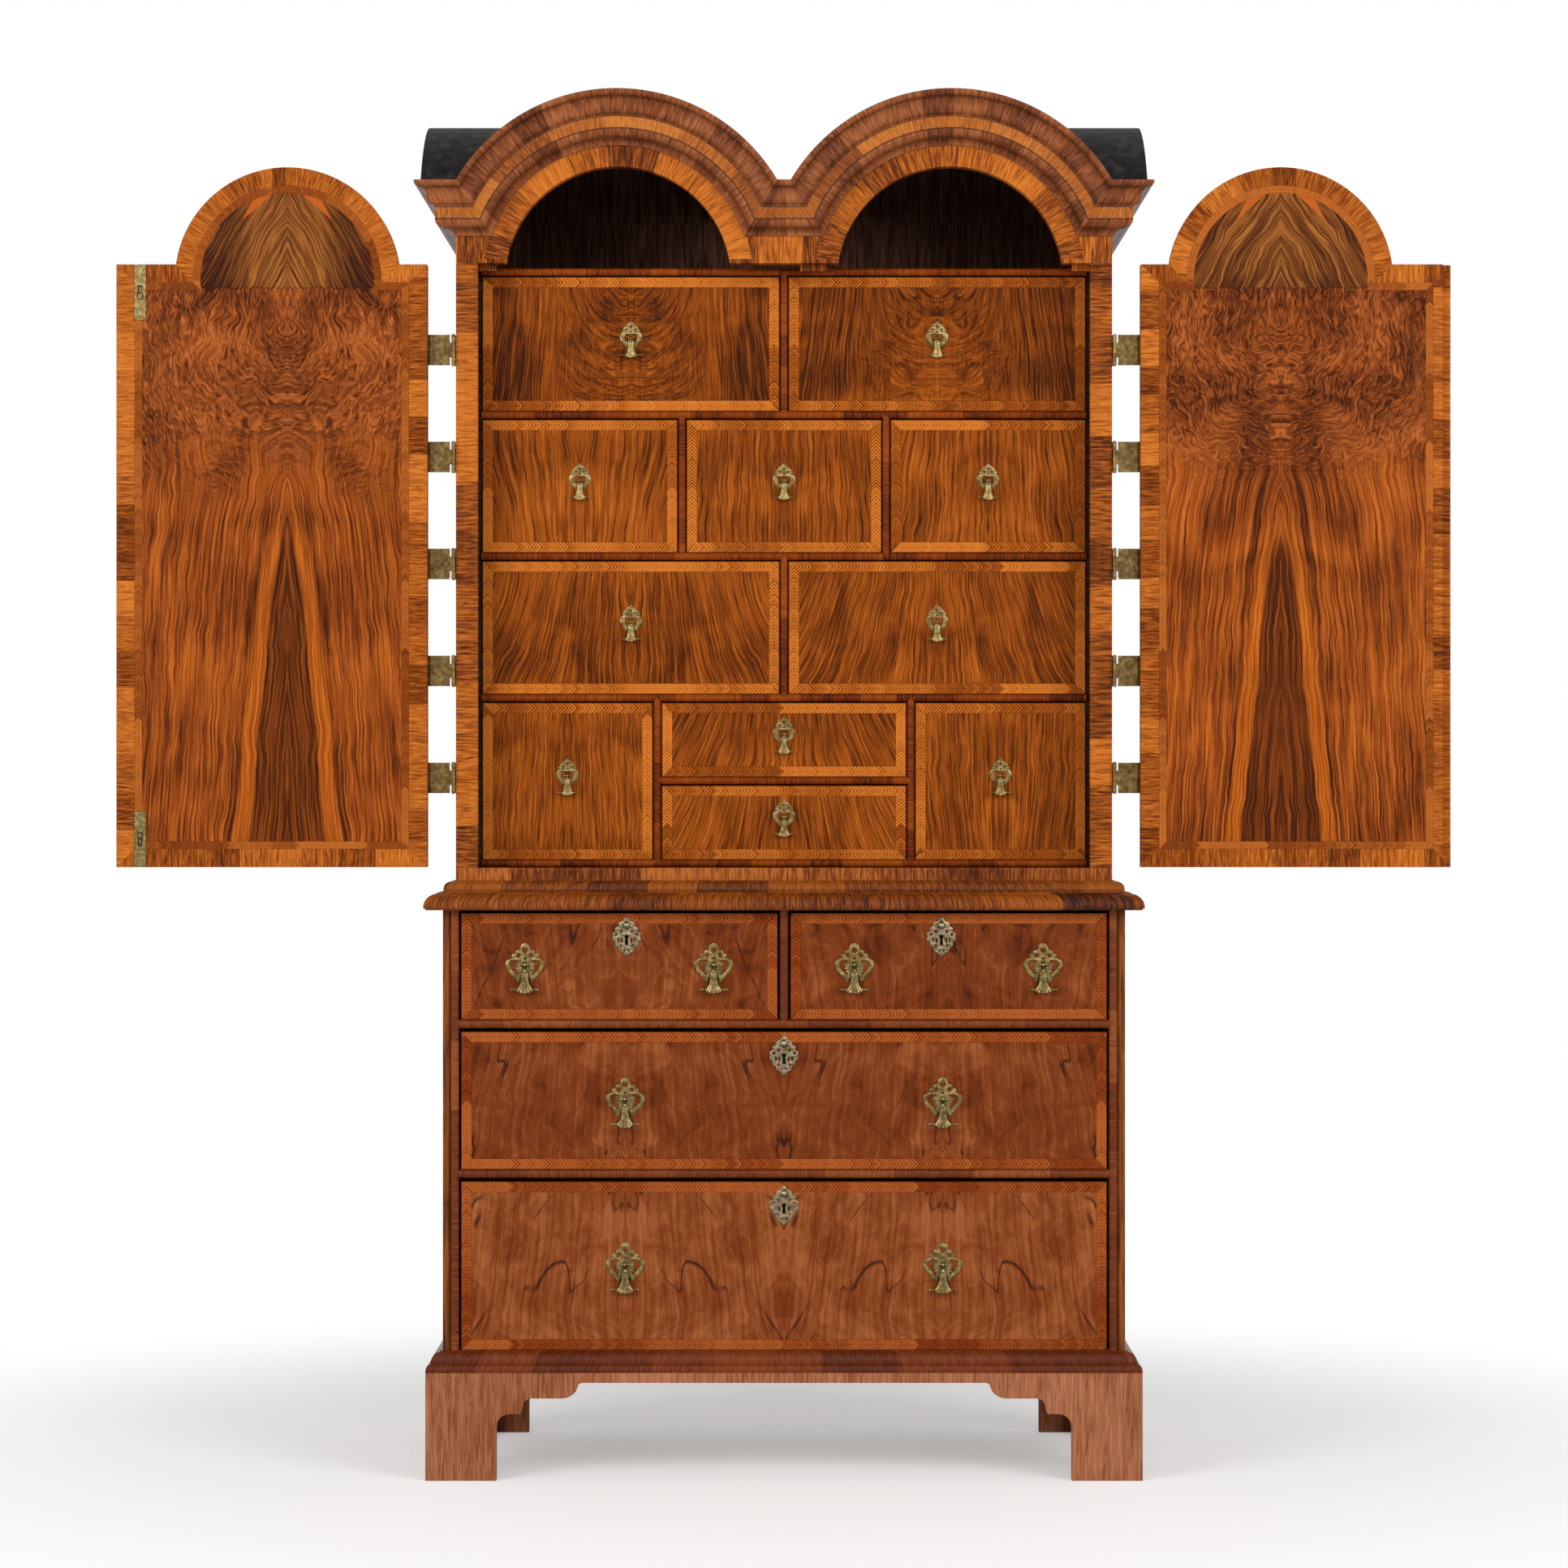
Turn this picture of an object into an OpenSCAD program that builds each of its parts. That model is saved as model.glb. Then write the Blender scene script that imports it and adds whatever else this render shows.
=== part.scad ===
// Double-domed cabinet on chest in walnut, with two arched doors standing open,
// a nest of eleven small drawers inside and four drawers in the chest below.
// Millimetres. X to the right, Y to the back, Z up. The origin is on the floor, under the middle of the
// piece's bounding box. The piece is drawn with both doors swung open and every drawer shut.

/* [Chest] */
// Width of the chest over its sides
chest_w = 1006; // [960:1:1100]
// Depth of the chest from drawer fronts to back
chest_d = 480; // [440:1:560]
// Thickness of the chest's side boards
chest_side_t = 24; // [20:1:30]
// Thickness of the rails between the chest drawers
rail_t = 13; // [10:1:16]
// Clear height of the bottom drawer's space
bottom_pocket_h = 253.5; // [220:0.5:280]
// Clear height of the middle drawer's space
middle_pocket_h = 208; // [180:0.5:240]
// Clear height of the two top drawers' spaces
top_pocket_h = 162; // [140:0.5:190]
// Thickness of the chest's floor board
chest_floor_t = 20; // [16:1:24]
// Thickness of the chest's back boards
chest_back_t = 12; // [8:1:16]
// Thickness of the moulded top board of the chest
chest_top_t = 25.5; // [22:0.5:30]
// How far the waist moulding stands out from the chest
waist_p = 27; // [24:1:36]
// Width of the bead down the front of each chest side
side_bead_w = 13; // [10:1:16]

/* [Base] */
// Height of the opening under the apron
apron_z = 144; // [120:1:160]
// Height of the apron strip between the feet
apron_h = 14.5; // [12:0.5:24]
// Height of the base moulding
base_h = 30.5; // [26:0.5:36]
// How far the base moulding stands out from the chest
base_p = 24; // [20:1:30]
// Thickness of the bracket feet
bracket_t = 20; // [16:1:24]
// Width of a bracket foot at the floor
foot_w = 104; // [90:1:120]
// Length of a bracket foot's wing at the apron
wing_w = 230; // [215:1:240]
// Side of the square corner blocks behind the feet
foot_block = 46; // [36:1:60]

/* [Cabinet] */
// Width of the cabinet over its sides
cabinet_w = 970; // [940:1:1000]
// How far the cabinet's face stands behind the chest's
setback = 16; // [12:1:20]
// Thickness of the cabinet's side boards
cabinet_side_t = 18; // [15:1:22]
// Thickness of the cabinet's back boards
cabinet_back_t = 10; // [8:1:14]
// Height of the cabinet's floor rail
floor_rail_h = 36; // [32:1:48]
// Thickness of the cabinet's floor board
cabinet_floor_t = 20; // [16:1:24]
// Height of the moulding round the cabinet's foot
foot_moulding_h = 17.5; // [15:0.5:22]
// How far that moulding stands out from the cabinet
foot_moulding_p = 19; // [16:1:22]
// Width of the face's stiles
stile_w = 32; // [28:1:42]
// Thickness of the face
face_t = 22; // [20:1:26]
// Height of the door opening up to its shoulders
opening_h = 894; // [860:1:920]
// Radius of the arched head of each door opening
arch_r = 167; // [150:1:175]
// How far the arch centre is below the shoulders
arch_drop = 24; // [10:1:30]
// Width of the flat band between arch and cornice
band_w = 31; // [24:1:40]
// Distance between the two arch centres
arch_span = 491; // [480:1:510]

/* [Cornice and roof] */
// Height of the cornice
cornice_h = 76; // [70:1:84]
// How far the cornice stands out
cornice_p = 58; // [54:1:68]
// How far the cornice's foot is above the shoulders
cornice_lift = 40; // [32:1:50]
// Thickness of the roof boards
roof_t = 10; // [8:1:14]
// How far the roof lies below the cornice's arched edge
roof_drop = 5; // [4:1:24]
// How far the side barrels lie below the two main ones
side_barrel_drop = 12; // [8:1:30]
// How far the roof's ends stop inside the cornice's edge
roof_inset = 3; // [2:1:16]

/* [Nest of drawers] */
// Distance from the cabinet's face to the small drawers' fronts
nest_inset = 58; // [52:1:70]
// Thickness of the nest's shelves and uprights
nest_t = 11; // [9:1:14]
// How far the half-round edges of shelves and uprights stand out
nest_nose = 4; // [2:0.5:5]
// How far the nest's ends show inside the stiles
nest_reveal = 2; // [0:1:8]
// Clear height of the nest's top row
row1_h = 202; // [170:1:220]
// Clear height of the nest's second row
row2_h = 200; // [170:1:220]
// Clear height of the nest's third row
row3_h = 200; // [170:1:220]
// Clear height of the nest's bottom row
row4_h = 236; // [200:1:260]
// Clear width of the two stacked drawers in the bottom row
row4_middle_w = 367; // [330:1:400]

/* [Drawers] */
// Gap at each side of a small drawer
small_gap = 1.5; // [1:0.1:3]
// Gap at each side of a chest drawer
large_gap = 3; // [1:0.1:4]
// Gap over a small drawer
small_top_gap = 2; // [1:0.1:3]
// Gap over a chest drawer
large_top_gap = 5; // [2:0.1:7]
// Running gap under a drawer
drawer_seat = 0.3; // [0.2:0.1:0.6]
// Thickness of a small drawer's front
small_front_t = 16; // [12:1:20]
// Thickness of a small drawer's sides and back
small_side_t = 7; // [5:1:10]
// Thickness of a chest drawer's front
large_front_t = 22; // [18:1:26]
// Thickness of a chest drawer's sides and back
large_side_t = 11; // [8:1:14]
// Thickness of the drawers' bottoms
drawer_bottom_t = 7; // [5:1:10]
// How far a drawer's sides stop below its front
side_drop = 4; // [2:1:8]
// Free depth left behind the small drawers
small_back_gap = 14; // [8:1:30]
// Free depth left behind the chest drawers
large_back_gap = 20; // [8:1:30]

/* [Doors] */
// Thickness of the doors
door_t = 22; // [20:1:25]
// Gap beside and under a shut door
door_gap = 1.5; // [1:0.1:3]
// Gap over a shut door
door_top_gap = 5; // [3:0.5:7]
// How far each door laps over the middle
lap = 6; // [4:0.5:8]
// How proud of the face a shut door stands
door_proud = 0.4; // [0.3:0.1:1]
// Number of hinges on each door
hinge_n = 5; // [3:1:5]
// Height of a hinge
hinge_h = 45; // [36:1:50]
// Height of the lowest hinge above the cabinet's floor
hinge_first = 133; // [100:1:150]
// Distance between hinges
hinge_pitch = 158; // [120:1:165]
// Length of a hinge leaf on the door and on the cabinet's side
leaf_l = 30; // [22:1:40]
// Thickness of the hinge leaves
leaf_t = 1.6; // [1.2:0.1:2.2]
// Radius of the hinge knuckles
knuckle_r = 3; // [2.6:0.1:3.6]
// Radius of the hinge pins
hinge_pin_r = 1.5; // [1.2:0.1:1.8]
// Length of a flush bolt's plate
bolt_l = 82; // [70:1:95]
// Width of a flush bolt's plate
bolt_w = 17; // [14:1:20]
// Distance from the left door's free edge to the middle of the bolt plates
bolt_inset = 35; // [24:1:45]
// Travel of the flush bolts
bolt_travel = 12; // [8:1:14]
// Distance of the right door's keyhole from the middle of the cabinet
lock_inset = 30; // [24:1:40]
// Height of the lock in the right door
lock_h = 90; // [70:1:110]

/* [Drop pulls and escutcheons] */
// Width of a chest pull's back plate
large_plate_w = 56; // [48:1:62]
// Height of a chest pull's back plate
large_plate_h = 57; // [50:1:64]
// Length of a chest pull's drop
large_drop_l = 41; // [34:1:48]
// Width of a small pull's back plate
small_plate_w = 34; // [28:1:38]
// Height of a small pull's back plate
small_plate_h = 39; // [34:1:44]
// Length of a small pull's drop
small_drop_l = 32; // [26:1:36]
// Thickness of the back plates
plate_t = 1.5; // [1:0.1:2]
// Distance of a chest pull's pivot from the drawer front
large_reach = 11; // [9.5:0.5:14]
// Distance of a small pull's pivot from the drawer front
small_reach = 8.5; // [7.5:0.5:11]
// Height of the small pulls' pivots over the middle of their drawers
small_pull_lift = 7; // [0:1:12]
// Distance of the long drawers' pulls from the middle of the chest
long_pull_x = 234; // [180:1:300]
// Distance of the short drawers' pulls from the middle of their drawer
short_pull_x = 139; // [110:1:160]
// Distance of the short drawers' escutcheons from the middle of the chest
short_lock_x = 232; // [210:1:250]
// Width of an escutcheon
escutcheon_w = 43; // [36:1:48]
// Height of an escutcheon
escutcheon_h = 60; // [52:1:64]
// Distance from a chest drawer's top edge down to its escutcheon
escutcheon_drop = 5; // [2:1:12]

/* [Hidden] */
$fn = 64;
// Segments of the large arches
arch_fn = 128;
// Gap that keeps neighbouring pieces of one node apart
seam = 0.2;
// Running clearance on the radius of a pin in its hole
pin_fit = 0.05;
// Overlap of united solids and of cuts past a face
over = 1;
// Longer than the whole piece
far = 3000;

// Planes from back to front
y_back = (chest_d + cornice_p - setback) / 2;
y_chest = y_back - chest_d;
y_face = y_chest + setback;
y_nest = y_face + nest_inset;

// Levels from the floor up
z_base = apron_z + apron_h;
z_floor = z_base + base_h;
z_rail2 = z_floor + bottom_pocket_h;
z_rail1 = z_rail2 + rail_t + middle_pocket_h;
z_chest = z_rail1 + rail_t + top_pocket_h;
z_waist = z_chest + chest_top_t;
z_opening = z_waist + floor_rail_h;
z_shoulder = z_opening + opening_h;
z_arch = z_shoulder - arch_drop;
z_cornice = z_shoulder + cornice_lift;
z_crown = z_cornice + cornice_h;
z_row4 = z_opening + nest_t;
z_row3 = z_row4 + row4_h + nest_t;
z_row2 = z_row3 + row3_h + nest_t;
z_row1 = z_row2 + row2_h + nest_t;
z_nest_top = z_row1 + row1_h;

// Half widths and widths
chest_half = chest_w / 2;
pocket_half = chest_half - chest_side_t;
foot_half = chest_half + base_p;
cabinet_half = cabinet_w / 2;
inner_half = cabinet_half - cabinet_side_t;
opening_half = cabinet_half - stile_w;
nest_half = opening_half - nest_reveal;
third_w = (2 * nest_half - 2 * nest_t) / 3;
stacked_h = (row4_h - nest_t) / 2;
arch_x = arch_span / 2;

// Cornice and roof: the side barrels' feet stop a little inside the front and the back
cornice_r = arch_r + band_w;
roof_r = cornice_r + cornice_h - roof_drop;
roof_y0 = y_face + face_t;
roof_half = (y_back - roof_y0) / 2;
roof_end = cabinet_half + cornice_p - roof_inset;
side_half = roof_half - 2;
side_rise = z_arch + roof_r - z_crown - side_barrel_drop;
side_r = (side_half * side_half + side_rise * side_rise) / (2 * side_rise);
z_side = z_crown + side_rise - side_r;
valley_half = arch_x - sqrt(pow(roof_r, 2) - pow(z_crown + roof_t - z_arch, 2)) + roof_t / 4;

// Hinge line, just outside and in front of the cabinet's corner
knuckle_gap = 0.4;
hinge_x = cabinet_half + knuckle_r + knuckle_gap;
hinge_y = y_face - knuckle_r - seam;

// Small drawer spaces, each [left, right, bottom, top]
NEST = [
    [-nest_half, -nest_t / 2, z_row1, z_nest_top],
    [nest_t / 2, nest_half, z_row1, z_nest_top],
    [-nest_half, -nest_half + third_w, z_row2, z_row2 + row2_h],
    [-third_w / 2, third_w / 2, z_row2, z_row2 + row2_h],
    [nest_half - third_w, nest_half, z_row2, z_row2 + row2_h],
    [-nest_half, -nest_t / 2, z_row3, z_row3 + row3_h],
    [nest_t / 2, nest_half, z_row3, z_row3 + row3_h],
    [-nest_half, -row4_middle_w / 2 - nest_t, z_row4, z_row4 + row4_h],
    [-row4_middle_w / 2, row4_middle_w / 2, z_row4 + stacked_h + nest_t, z_row4 + row4_h],
    [-row4_middle_w / 2, row4_middle_w / 2, z_row4, z_row4 + stacked_h],
    [row4_middle_w / 2 + nest_t, nest_half, z_row4, z_row4 + row4_h]
];

// Chest drawer spaces, each [left, right, bottom, top]
CHEST = [
    [-pocket_half, -rail_t / 2, z_rail1 + rail_t, z_chest],
    [rail_t / 2, pocket_half, z_rail1 + rail_t, z_chest],
    [-pocket_half, pocket_half, z_rail2 + rail_t, z_rail1],
    [-pocket_half, pocket_half, z_floor, z_rail2]
];

walnut = "#7d4119";
golden_walnut = "#9a5420";
oak = "#a9794a";
black_paint = "#201c1a";
brass = "#b59a5c";

// Points on an arc, from angle a0 to a1 in n steps
function arc(cx, cy, rx, ry, a0, a1, n = 6) =
    [for (i = [0:n]) let (a = a0 + (a1 - a0) * i / n) [cx + rx * cos(a), cy + ry * sin(a)]];

// Moulding sections, each [out, up] from the foot of its back face
function cornice_section() = let (p = cornice_p, h = cornice_h) concat(
    [[0, 0]],
    arc(15, 0, 12, 9, 180, 90, 4),
    [[17, 9]],
    arc(17, 22, p - 46, 12, -90, 0, 5),
    [[p - 29, h - 36], [p - 28, h - 36]],
    arc(p - 28, h - 24, 10, 10, -90, 0, 4),
    arc(p - 7, h - 23, 11, 13, 180, 100, 4),
    [[p - 7, h - 10]],
    arc(p - 7, h - 2, 7, 7, -90, 0, 4),
    [[p, h - 1], [p - 1, h], [0, h]]
);
function waist_section() = let (p = waist_p, h = chest_top_t) concat(
    [[0, 0], [p - 3, 0], [p - 3, 2]],
    arc(p - 22, 5, 22, h - 6, -8, 82, 8),
    [[p - 19, h], [0, h]]
);
function foot_moulding_section() = let (p = foot_moulding_p, h = foot_moulding_h) concat(
    [[0, 0], [p, 0], [p, 1], [p - 2.5, 2.5], [p - 2.5, 4], [p - 1, 4], [p - 1, 6.5]],
    arc(3, 6.5, p - 5, h - 7.5, 0, 90, 6),
    [[3, h], [0, h]]
);
function base_section() = let (p = base_p, h = base_h) concat(
    [[0, 0], [p, 0]],
    arc(p - 6, 2.5, 6, 9, 0, 80, 5),
    arc(4, 12.5, p - 11, h - 14, 0, 90, 6),
    [[4, h], [0, h]]
);

// A box from one corner to the other
module block(x0, x1, y0, y1, z0, z1) {
    translate([x0, y0, z0]) cube([x1 - x0, y1 - y0, z1 - z0]);
}

// The same thing on the left and on the right
module both_sides() {
    children();
    mirror([1, 0, 0]) children();
}

// A section swept along the front, its back face on the plane y
module front_run(section, half, y, z) {
    translate([-half, y, z]) rotate([90, 0, 90]) mirror([1, 0, 0]) linear_extrude(2 * half) polygon(section);
}

// A section swept along the right-hand side, its back face on the plane x
module side_run(section, x, y0, y1, z) {
    translate([x, y1, z]) rotate([90, 0, 0]) linear_extrude(y1 - y0) polygon(section);
}

// Plan of a front run between its two mitres, a little short of them
module mitre_plan(half, y, reach) {
    a = half - seam;
    linear_extrude(far) polygon([[-a, y], [a, y], [a + reach, y - reach], [-a - reach, y - reach]]);
}

// The run down the right-hand side, mitred at its front end
module mitred_side(section, half, y, z, reach) {
    r = reach + over;
    difference() {
        side_run(section, half, y - reach, y_back, z);
        linear_extrude(far) polygon([[half, y], [half + r, y - r], [0, y - r], [0, y]]);
    }
}

// Mouldings run round the front and both sides, mitred at the corners
module three_runs(section, half, y, z, reach) {
    intersection() {
        front_run(section, half + reach, y, z);
        mitre_plan(half, y, reach + over);
    }
    both_sides() mitred_side(section, half, y, z, reach);
}

// A board with a half-round front edge that stands out by the nose
module nosed_shelf(x0, x1, y0, y1, z0, t, nose) {
    block(x0, x1, y0, y1, z0, z0 + t);
    intersection() {
        translate([x0, y0 + t / 2 - nose, z0 + t / 2]) rotate([0, 90, 0]) cylinder(r = t / 2, h = x1 - x0);
        block(x0, x1, y0 - nose, y0 + over, z0, z0 + t);
    }
}
module nosed_upright(x0, t, y0, y1, z0, z1, nose) {
    block(x0, x0 + t, y0, y1, z0, z1);
    intersection() {
        translate([x0 + t / 2, y0 + t / 2 - nose, z0]) cylinder(r = t / 2, h = z1 - z0);
        block(x0, x0 + t, y0 - nose, y0 + over, z0, z1);
    }
}

// Outline of a bracket foot, [along the wing, up], cut away in steps and curves under the wing
function bracket_outline() = let (h = z_base, a = apron_z, f = foot_w, w = wing_w) concat(
    [[0, 0], [f, 0]],
    arc(f + 20, a - 66, 20, 20, 180, 90, 6),
    [[f + 36, a - 46]],
    arc(f + 52, a - 38, 14, 15, 180, 90, 5),
    arc(w - 30, a - 3, 24, 20, -90, 0, 6),
    [[w, a], [w, h], [0, h]]
);
module bracket() {
    linear_extrude(bracket_t) polygon(bracket_outline());
}

// A foot's front bracket and side bracket, mitred, with a corner block behind them
foot_front = y_chest - base_p;
module front_foot() {
    m = bracket_t + over;
    difference() {
        translate([-foot_half, foot_front + bracket_t, 0]) rotate([90, 0, 0]) bracket();
        translate([-foot_half + seam, foot_front, 0]) linear_extrude(far) polygon([[-m, -m], [m, m], [-m, m]]);
    }
    difference() {
        translate([-foot_half, foot_front, 0]) rotate([90, 0, 90]) bracket();
        translate([-foot_half, foot_front, 0]) linear_extrude(far) polygon([[-m, -m], [m, m], [m, -m]]);
    }
    translate([-foot_half + bracket_t + seam, foot_front + bracket_t + seam, 0])
        cube([foot_block, foot_block, z_base]);
}
module front_feet() {
    color(walnut) both_sides() front_foot();
}

// A rear foot has a bracket at the side only, a plain board at the back and a corner block
module rear_foot() {
    x = -foot_half + bracket_t + seam;
    translate([-foot_half, y_back, 0]) rotate([90, 0, 90]) mirror([1, 0, 0]) bracket();
    block(x, x + foot_w, y_back - bracket_t, y_back, 0, z_base);
    translate([x, y_back - bracket_t - seam - foot_block, 0]) cube([foot_block, foot_block, z_base]);
}
module rear_feet() {
    color(walnut) both_sides() rear_foot();
}

// Moulding round the chest's foot, with the apron strips that join the feet
module base_moulding() {
    color(walnut) {
        three_runs(base_section(), chest_half, y_chest, z_base, base_p);
        block(-foot_half + wing_w, foot_half - wing_w, foot_front, foot_front + bracket_t, apron_z, z_base);
        both_sides()
            block(foot_half - bracket_t, foot_half, foot_front + wing_w, y_back - wing_w, apron_z, z_base);
    }
}

module chest_floor() {
    color(oak) block(-pocket_half, pocket_half, y_chest, y_back - chest_back_t, z_floor - chest_floor_t, z_floor);
}

// Side boards, each with a bead down its front edge
module chest_sides() {
    color(walnut) both_sides() {
        block(pocket_half, chest_half, y_chest, y_back, z_base, z_chest);
        nosed_upright(pocket_half, side_bead_w, y_chest, y_chest + over, z_floor, z_chest, nest_nose);
    }
}
module chest_rails() {
    color(walnut) for (z = [z_rail2, z_rail1])
        nosed_shelf(-pocket_half, pocket_half, y_chest, y_back - chest_back_t, z, rail_t, nest_nose);
}
module chest_divider() {
    color(walnut)
        nosed_upright(-rail_t / 2, rail_t, y_chest, y_back - chest_back_t, z_rail1 + rail_t, z_chest, nest_nose);
}
module chest_back() {
    color(oak) block(-pocket_half, pocket_half, y_back - chest_back_t, y_back, z_floor - chest_floor_t, z_chest);
}
module chest_top() {
    color(walnut) block(-chest_half, chest_half, y_chest, y_back, z_chest, z_waist);
}

// Moulding round the chest's top, and the one round the cabinet's foot that keeps it in place
module waist_moulding() {
    color(golden_walnut) {
        three_runs(waist_section(), chest_half, y_chest, z_chest, waist_p);
        three_runs(foot_moulding_section(), cabinet_half, y_face, z_waist + seam, foot_moulding_p);
    }
}

module cabinet_floor() {
    color(walnut) difference() {
        union() {
            block(-cabinet_half, cabinet_half, y_face, y_face + face_t, z_waist, z_opening);
            block(-inner_half, inner_half, y_face + face_t - over, y_back - cabinet_back_t,
                  z_opening - cabinet_floor_t, z_opening);
        }
        bolt_socket(z_opening, -1);
    }
}
module cabinet_sides() {
    color(walnut) both_sides() block(inner_half, cabinet_half, y_face + face_t, y_back, z_waist, z_crown);
}
module cabinet_back() {
    color(oak)
        block(-inner_half, inner_half, y_back - cabinet_back_t, y_back, z_opening - cabinet_floor_t, z_crown);
}
module face_stiles() {
    color(golden_walnut) both_sides()
        block(opening_half, cabinet_half, y_face, y_face + face_t, z_opening, z_shoulder);
}

// Door stops behind the shoulders of the head, each [left, width]; the outer ones start on the stiles
stop_t = 12;
stop_h = 25;
stop_drop = 9;
stop_lap = 12;
STOPS = [[-opening_half - stop_lap, 38], [24, 40], [opening_half + stop_lap - 38, 38]];

// Head of the face, with both arches cut in it
module arch_board() {
    color(golden_walnut) {
        difference() {
            translate([0, y_face + face_t, 0]) rotate([90, 0, 0]) linear_extrude(face_t) head_outline();
            bolt_socket(z_shoulder, 1);
        }
        for (s = STOPS) block(s[0], s[0] + s[1], y_face + face_t, y_face + face_t + stop_t,
                              z_shoulder - stop_drop, z_shoulder - stop_drop + stop_h);
    }
}
module head_outline() {
    difference() {
        union() {
            translate([-cabinet_half, z_shoulder]) square([cabinet_w, z_crown - z_shoulder]);
            intersection() {
                for (s = [-1, 1]) translate([s * arch_x, z_arch]) circle(r = roof_r, $fn = arch_fn);
                translate([-cabinet_half, z_crown - over]) square([cabinet_w, far]);
            }
        }
        for (s = [-1, 1]) translate([s * arch_x, z_arch]) circle(r = arch_r, $fn = arch_fn);
    }
}

// The cornice's arches meet its straight lengths on mitres. v is a height in the section, and the mitre's
// distance from the arch's centre line follows from the two lengths having the same v there.
function mitre_out(v) = sqrt(pow(cornice_r + v, 2) - pow(z_cornice + v - z_arch, 2));
mitre_lo = mitre_out(0);
mitre_hi = mitre_out(cornice_h);
// Face of one arch between its mitres, with the arch's centre at the origin
module arch_face(gap, top) {
    lo = mitre_lo - gap - over * (mitre_hi - mitre_lo) / cornice_h;
    z_lo = z_cornice - z_arch - over;
    hi = mitre_hi - gap;
    z_hi = z_crown - z_arch;
    polygon([[-lo, z_lo], [lo, z_lo], [hi, z_hi], [hi, top], [-hi, top], [-hi, z_hi]]);
}
module cornice_arch() {
    translate([0, y_face, z_arch]) rotate([90, 0, 0]) intersection() {
        rotate_extrude($fn = arch_fn) translate([cornice_r, 0]) polygon([for (q = cornice_section()) [q[1], q[0]]]);
        linear_extrude(far) arch_face(seam, far);
    }
}
// The straight lengths: one at each end of the front, and a short one between the arches
module cornice_straight() {
    intersection() {
        front_run(cornice_section(), cabinet_half + cornice_p, y_face, z_cornice);
        mitre_plan(cabinet_half, y_face, cornice_p + over);
        translate([0, y_face + over, 0]) rotate([90, 0, 0]) linear_extrude(far) difference() {
            translate([-far / 2, 0]) square([far, far]);
            for (s = [-1, 1]) translate([s * arch_x, z_arch]) arch_face(-seam, z_crown - z_arch + over);
        }
    }
}
module cornice() {
    color(golden_walnut) {
        for (s = [-1, 1]) translate([s * arch_x, 0, 0]) cornice_arch();
        cornice_straight();
    }
}
module cornice_returns() {
    color(golden_walnut) both_sides() mitred_side(cornice_section(), cabinet_half, y_face, z_cornice, cornice_p);
}

// Roof: two barrels from front to back, each crossed by a barrel that runs out to its side
module main_roof_outline(shell) {
    intersection() {
        both_sides() translate([arch_x, z_arch]) circle(r = roof_r - shell, $fn = arch_fn);
        translate([-far / 2, z_crown]) square([far, far]);
    }
}
module side_roof_volume(shell) {
    intersection() {
        translate([arch_x, (roof_y0 + y_back) / 2, z_side]) rotate([0, 90, 0])
            cylinder(r = side_r - shell, h = roof_end - arch_x - shell, $fn = arch_fn);
        block(0, far, -far / 2, far / 2, z_crown - (shell > 0 ? over : 0), far);
    }
}
module dome_roof() {
    color(black_paint) {
        translate([0, y_back, 0]) rotate([90, 0, 0]) linear_extrude(y_back - roof_y0) difference() {
            union() {
                main_roof_outline(0);
                translate([-valley_half, z_crown]) square([valley_half * 2, roof_t]);
            }
            main_roof_outline(roof_t);
        }
        translate([0, y_back - seam, 0]) rotate([90, 0, 0]) linear_extrude(roof_t) main_roof_outline(roof_t + seam);
        both_sides() difference() {
            side_roof_volume(0);
            side_roof_volume(roof_t);
            translate([arch_x, y_back + over, z_arch]) rotate([90, 0, 0])
                cylinder(r = roof_r + seam, h = y_back - roof_y0 + over * 2, $fn = arch_fn);
        }
    }
}

// Nest: boards with half-round front edges
module nest_shelves() {
    y1 = y_back - cabinet_back_t;
    color(walnut) {
        for (z = [z_row4, z_row3, z_row2, z_row1, z_nest_top + nest_t])
            nosed_shelf(-nest_half, nest_half, y_nest, y1, z - nest_t, nest_t, nest_nose);
        nosed_shelf(-row4_middle_w / 2, row4_middle_w / 2, y_nest, y1, z_row4 + stacked_h, nest_t, nest_nose);
    }
}
module nest_uprights() {
    y1 = y_back - cabinet_back_t;
    color(walnut) {
        both_sides() {
            block(nest_half, inner_half, y_nest, y1, z_opening, z_nest_top + nest_t);
            nosed_upright(third_w / 2, nest_t, y_nest, y1, z_row2, z_row2 + row2_h, nest_nose);
            nosed_upright(row4_middle_w / 2, nest_t, y_nest, y1, z_row4, z_row4 + row4_h, nest_nose);
        }
        nosed_upright(-nest_t / 2, nest_t, y_nest, y1, z_row1, z_nest_top, nest_nose);
        nosed_upright(-nest_t / 2, nest_t, y_nest, y1, z_row3, z_row3 + row3_h, nest_nose);
    }
}

// Hinges, drawn for the left-hand side and mirrored for the right
function hinge_z(i) = z_opening + hinge_first + i * hinge_pitch;
knuckle_h = hinge_h / 4;
tongue_h = hinge_h - 2 * knuckle_h - 0.6;
module pin_bore(z) {
    translate([-hinge_x, hinge_y, z - hinge_h]) cylinder(r = hinge_pin_r + pin_fit, h = 2 * hinge_h);
}
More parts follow.
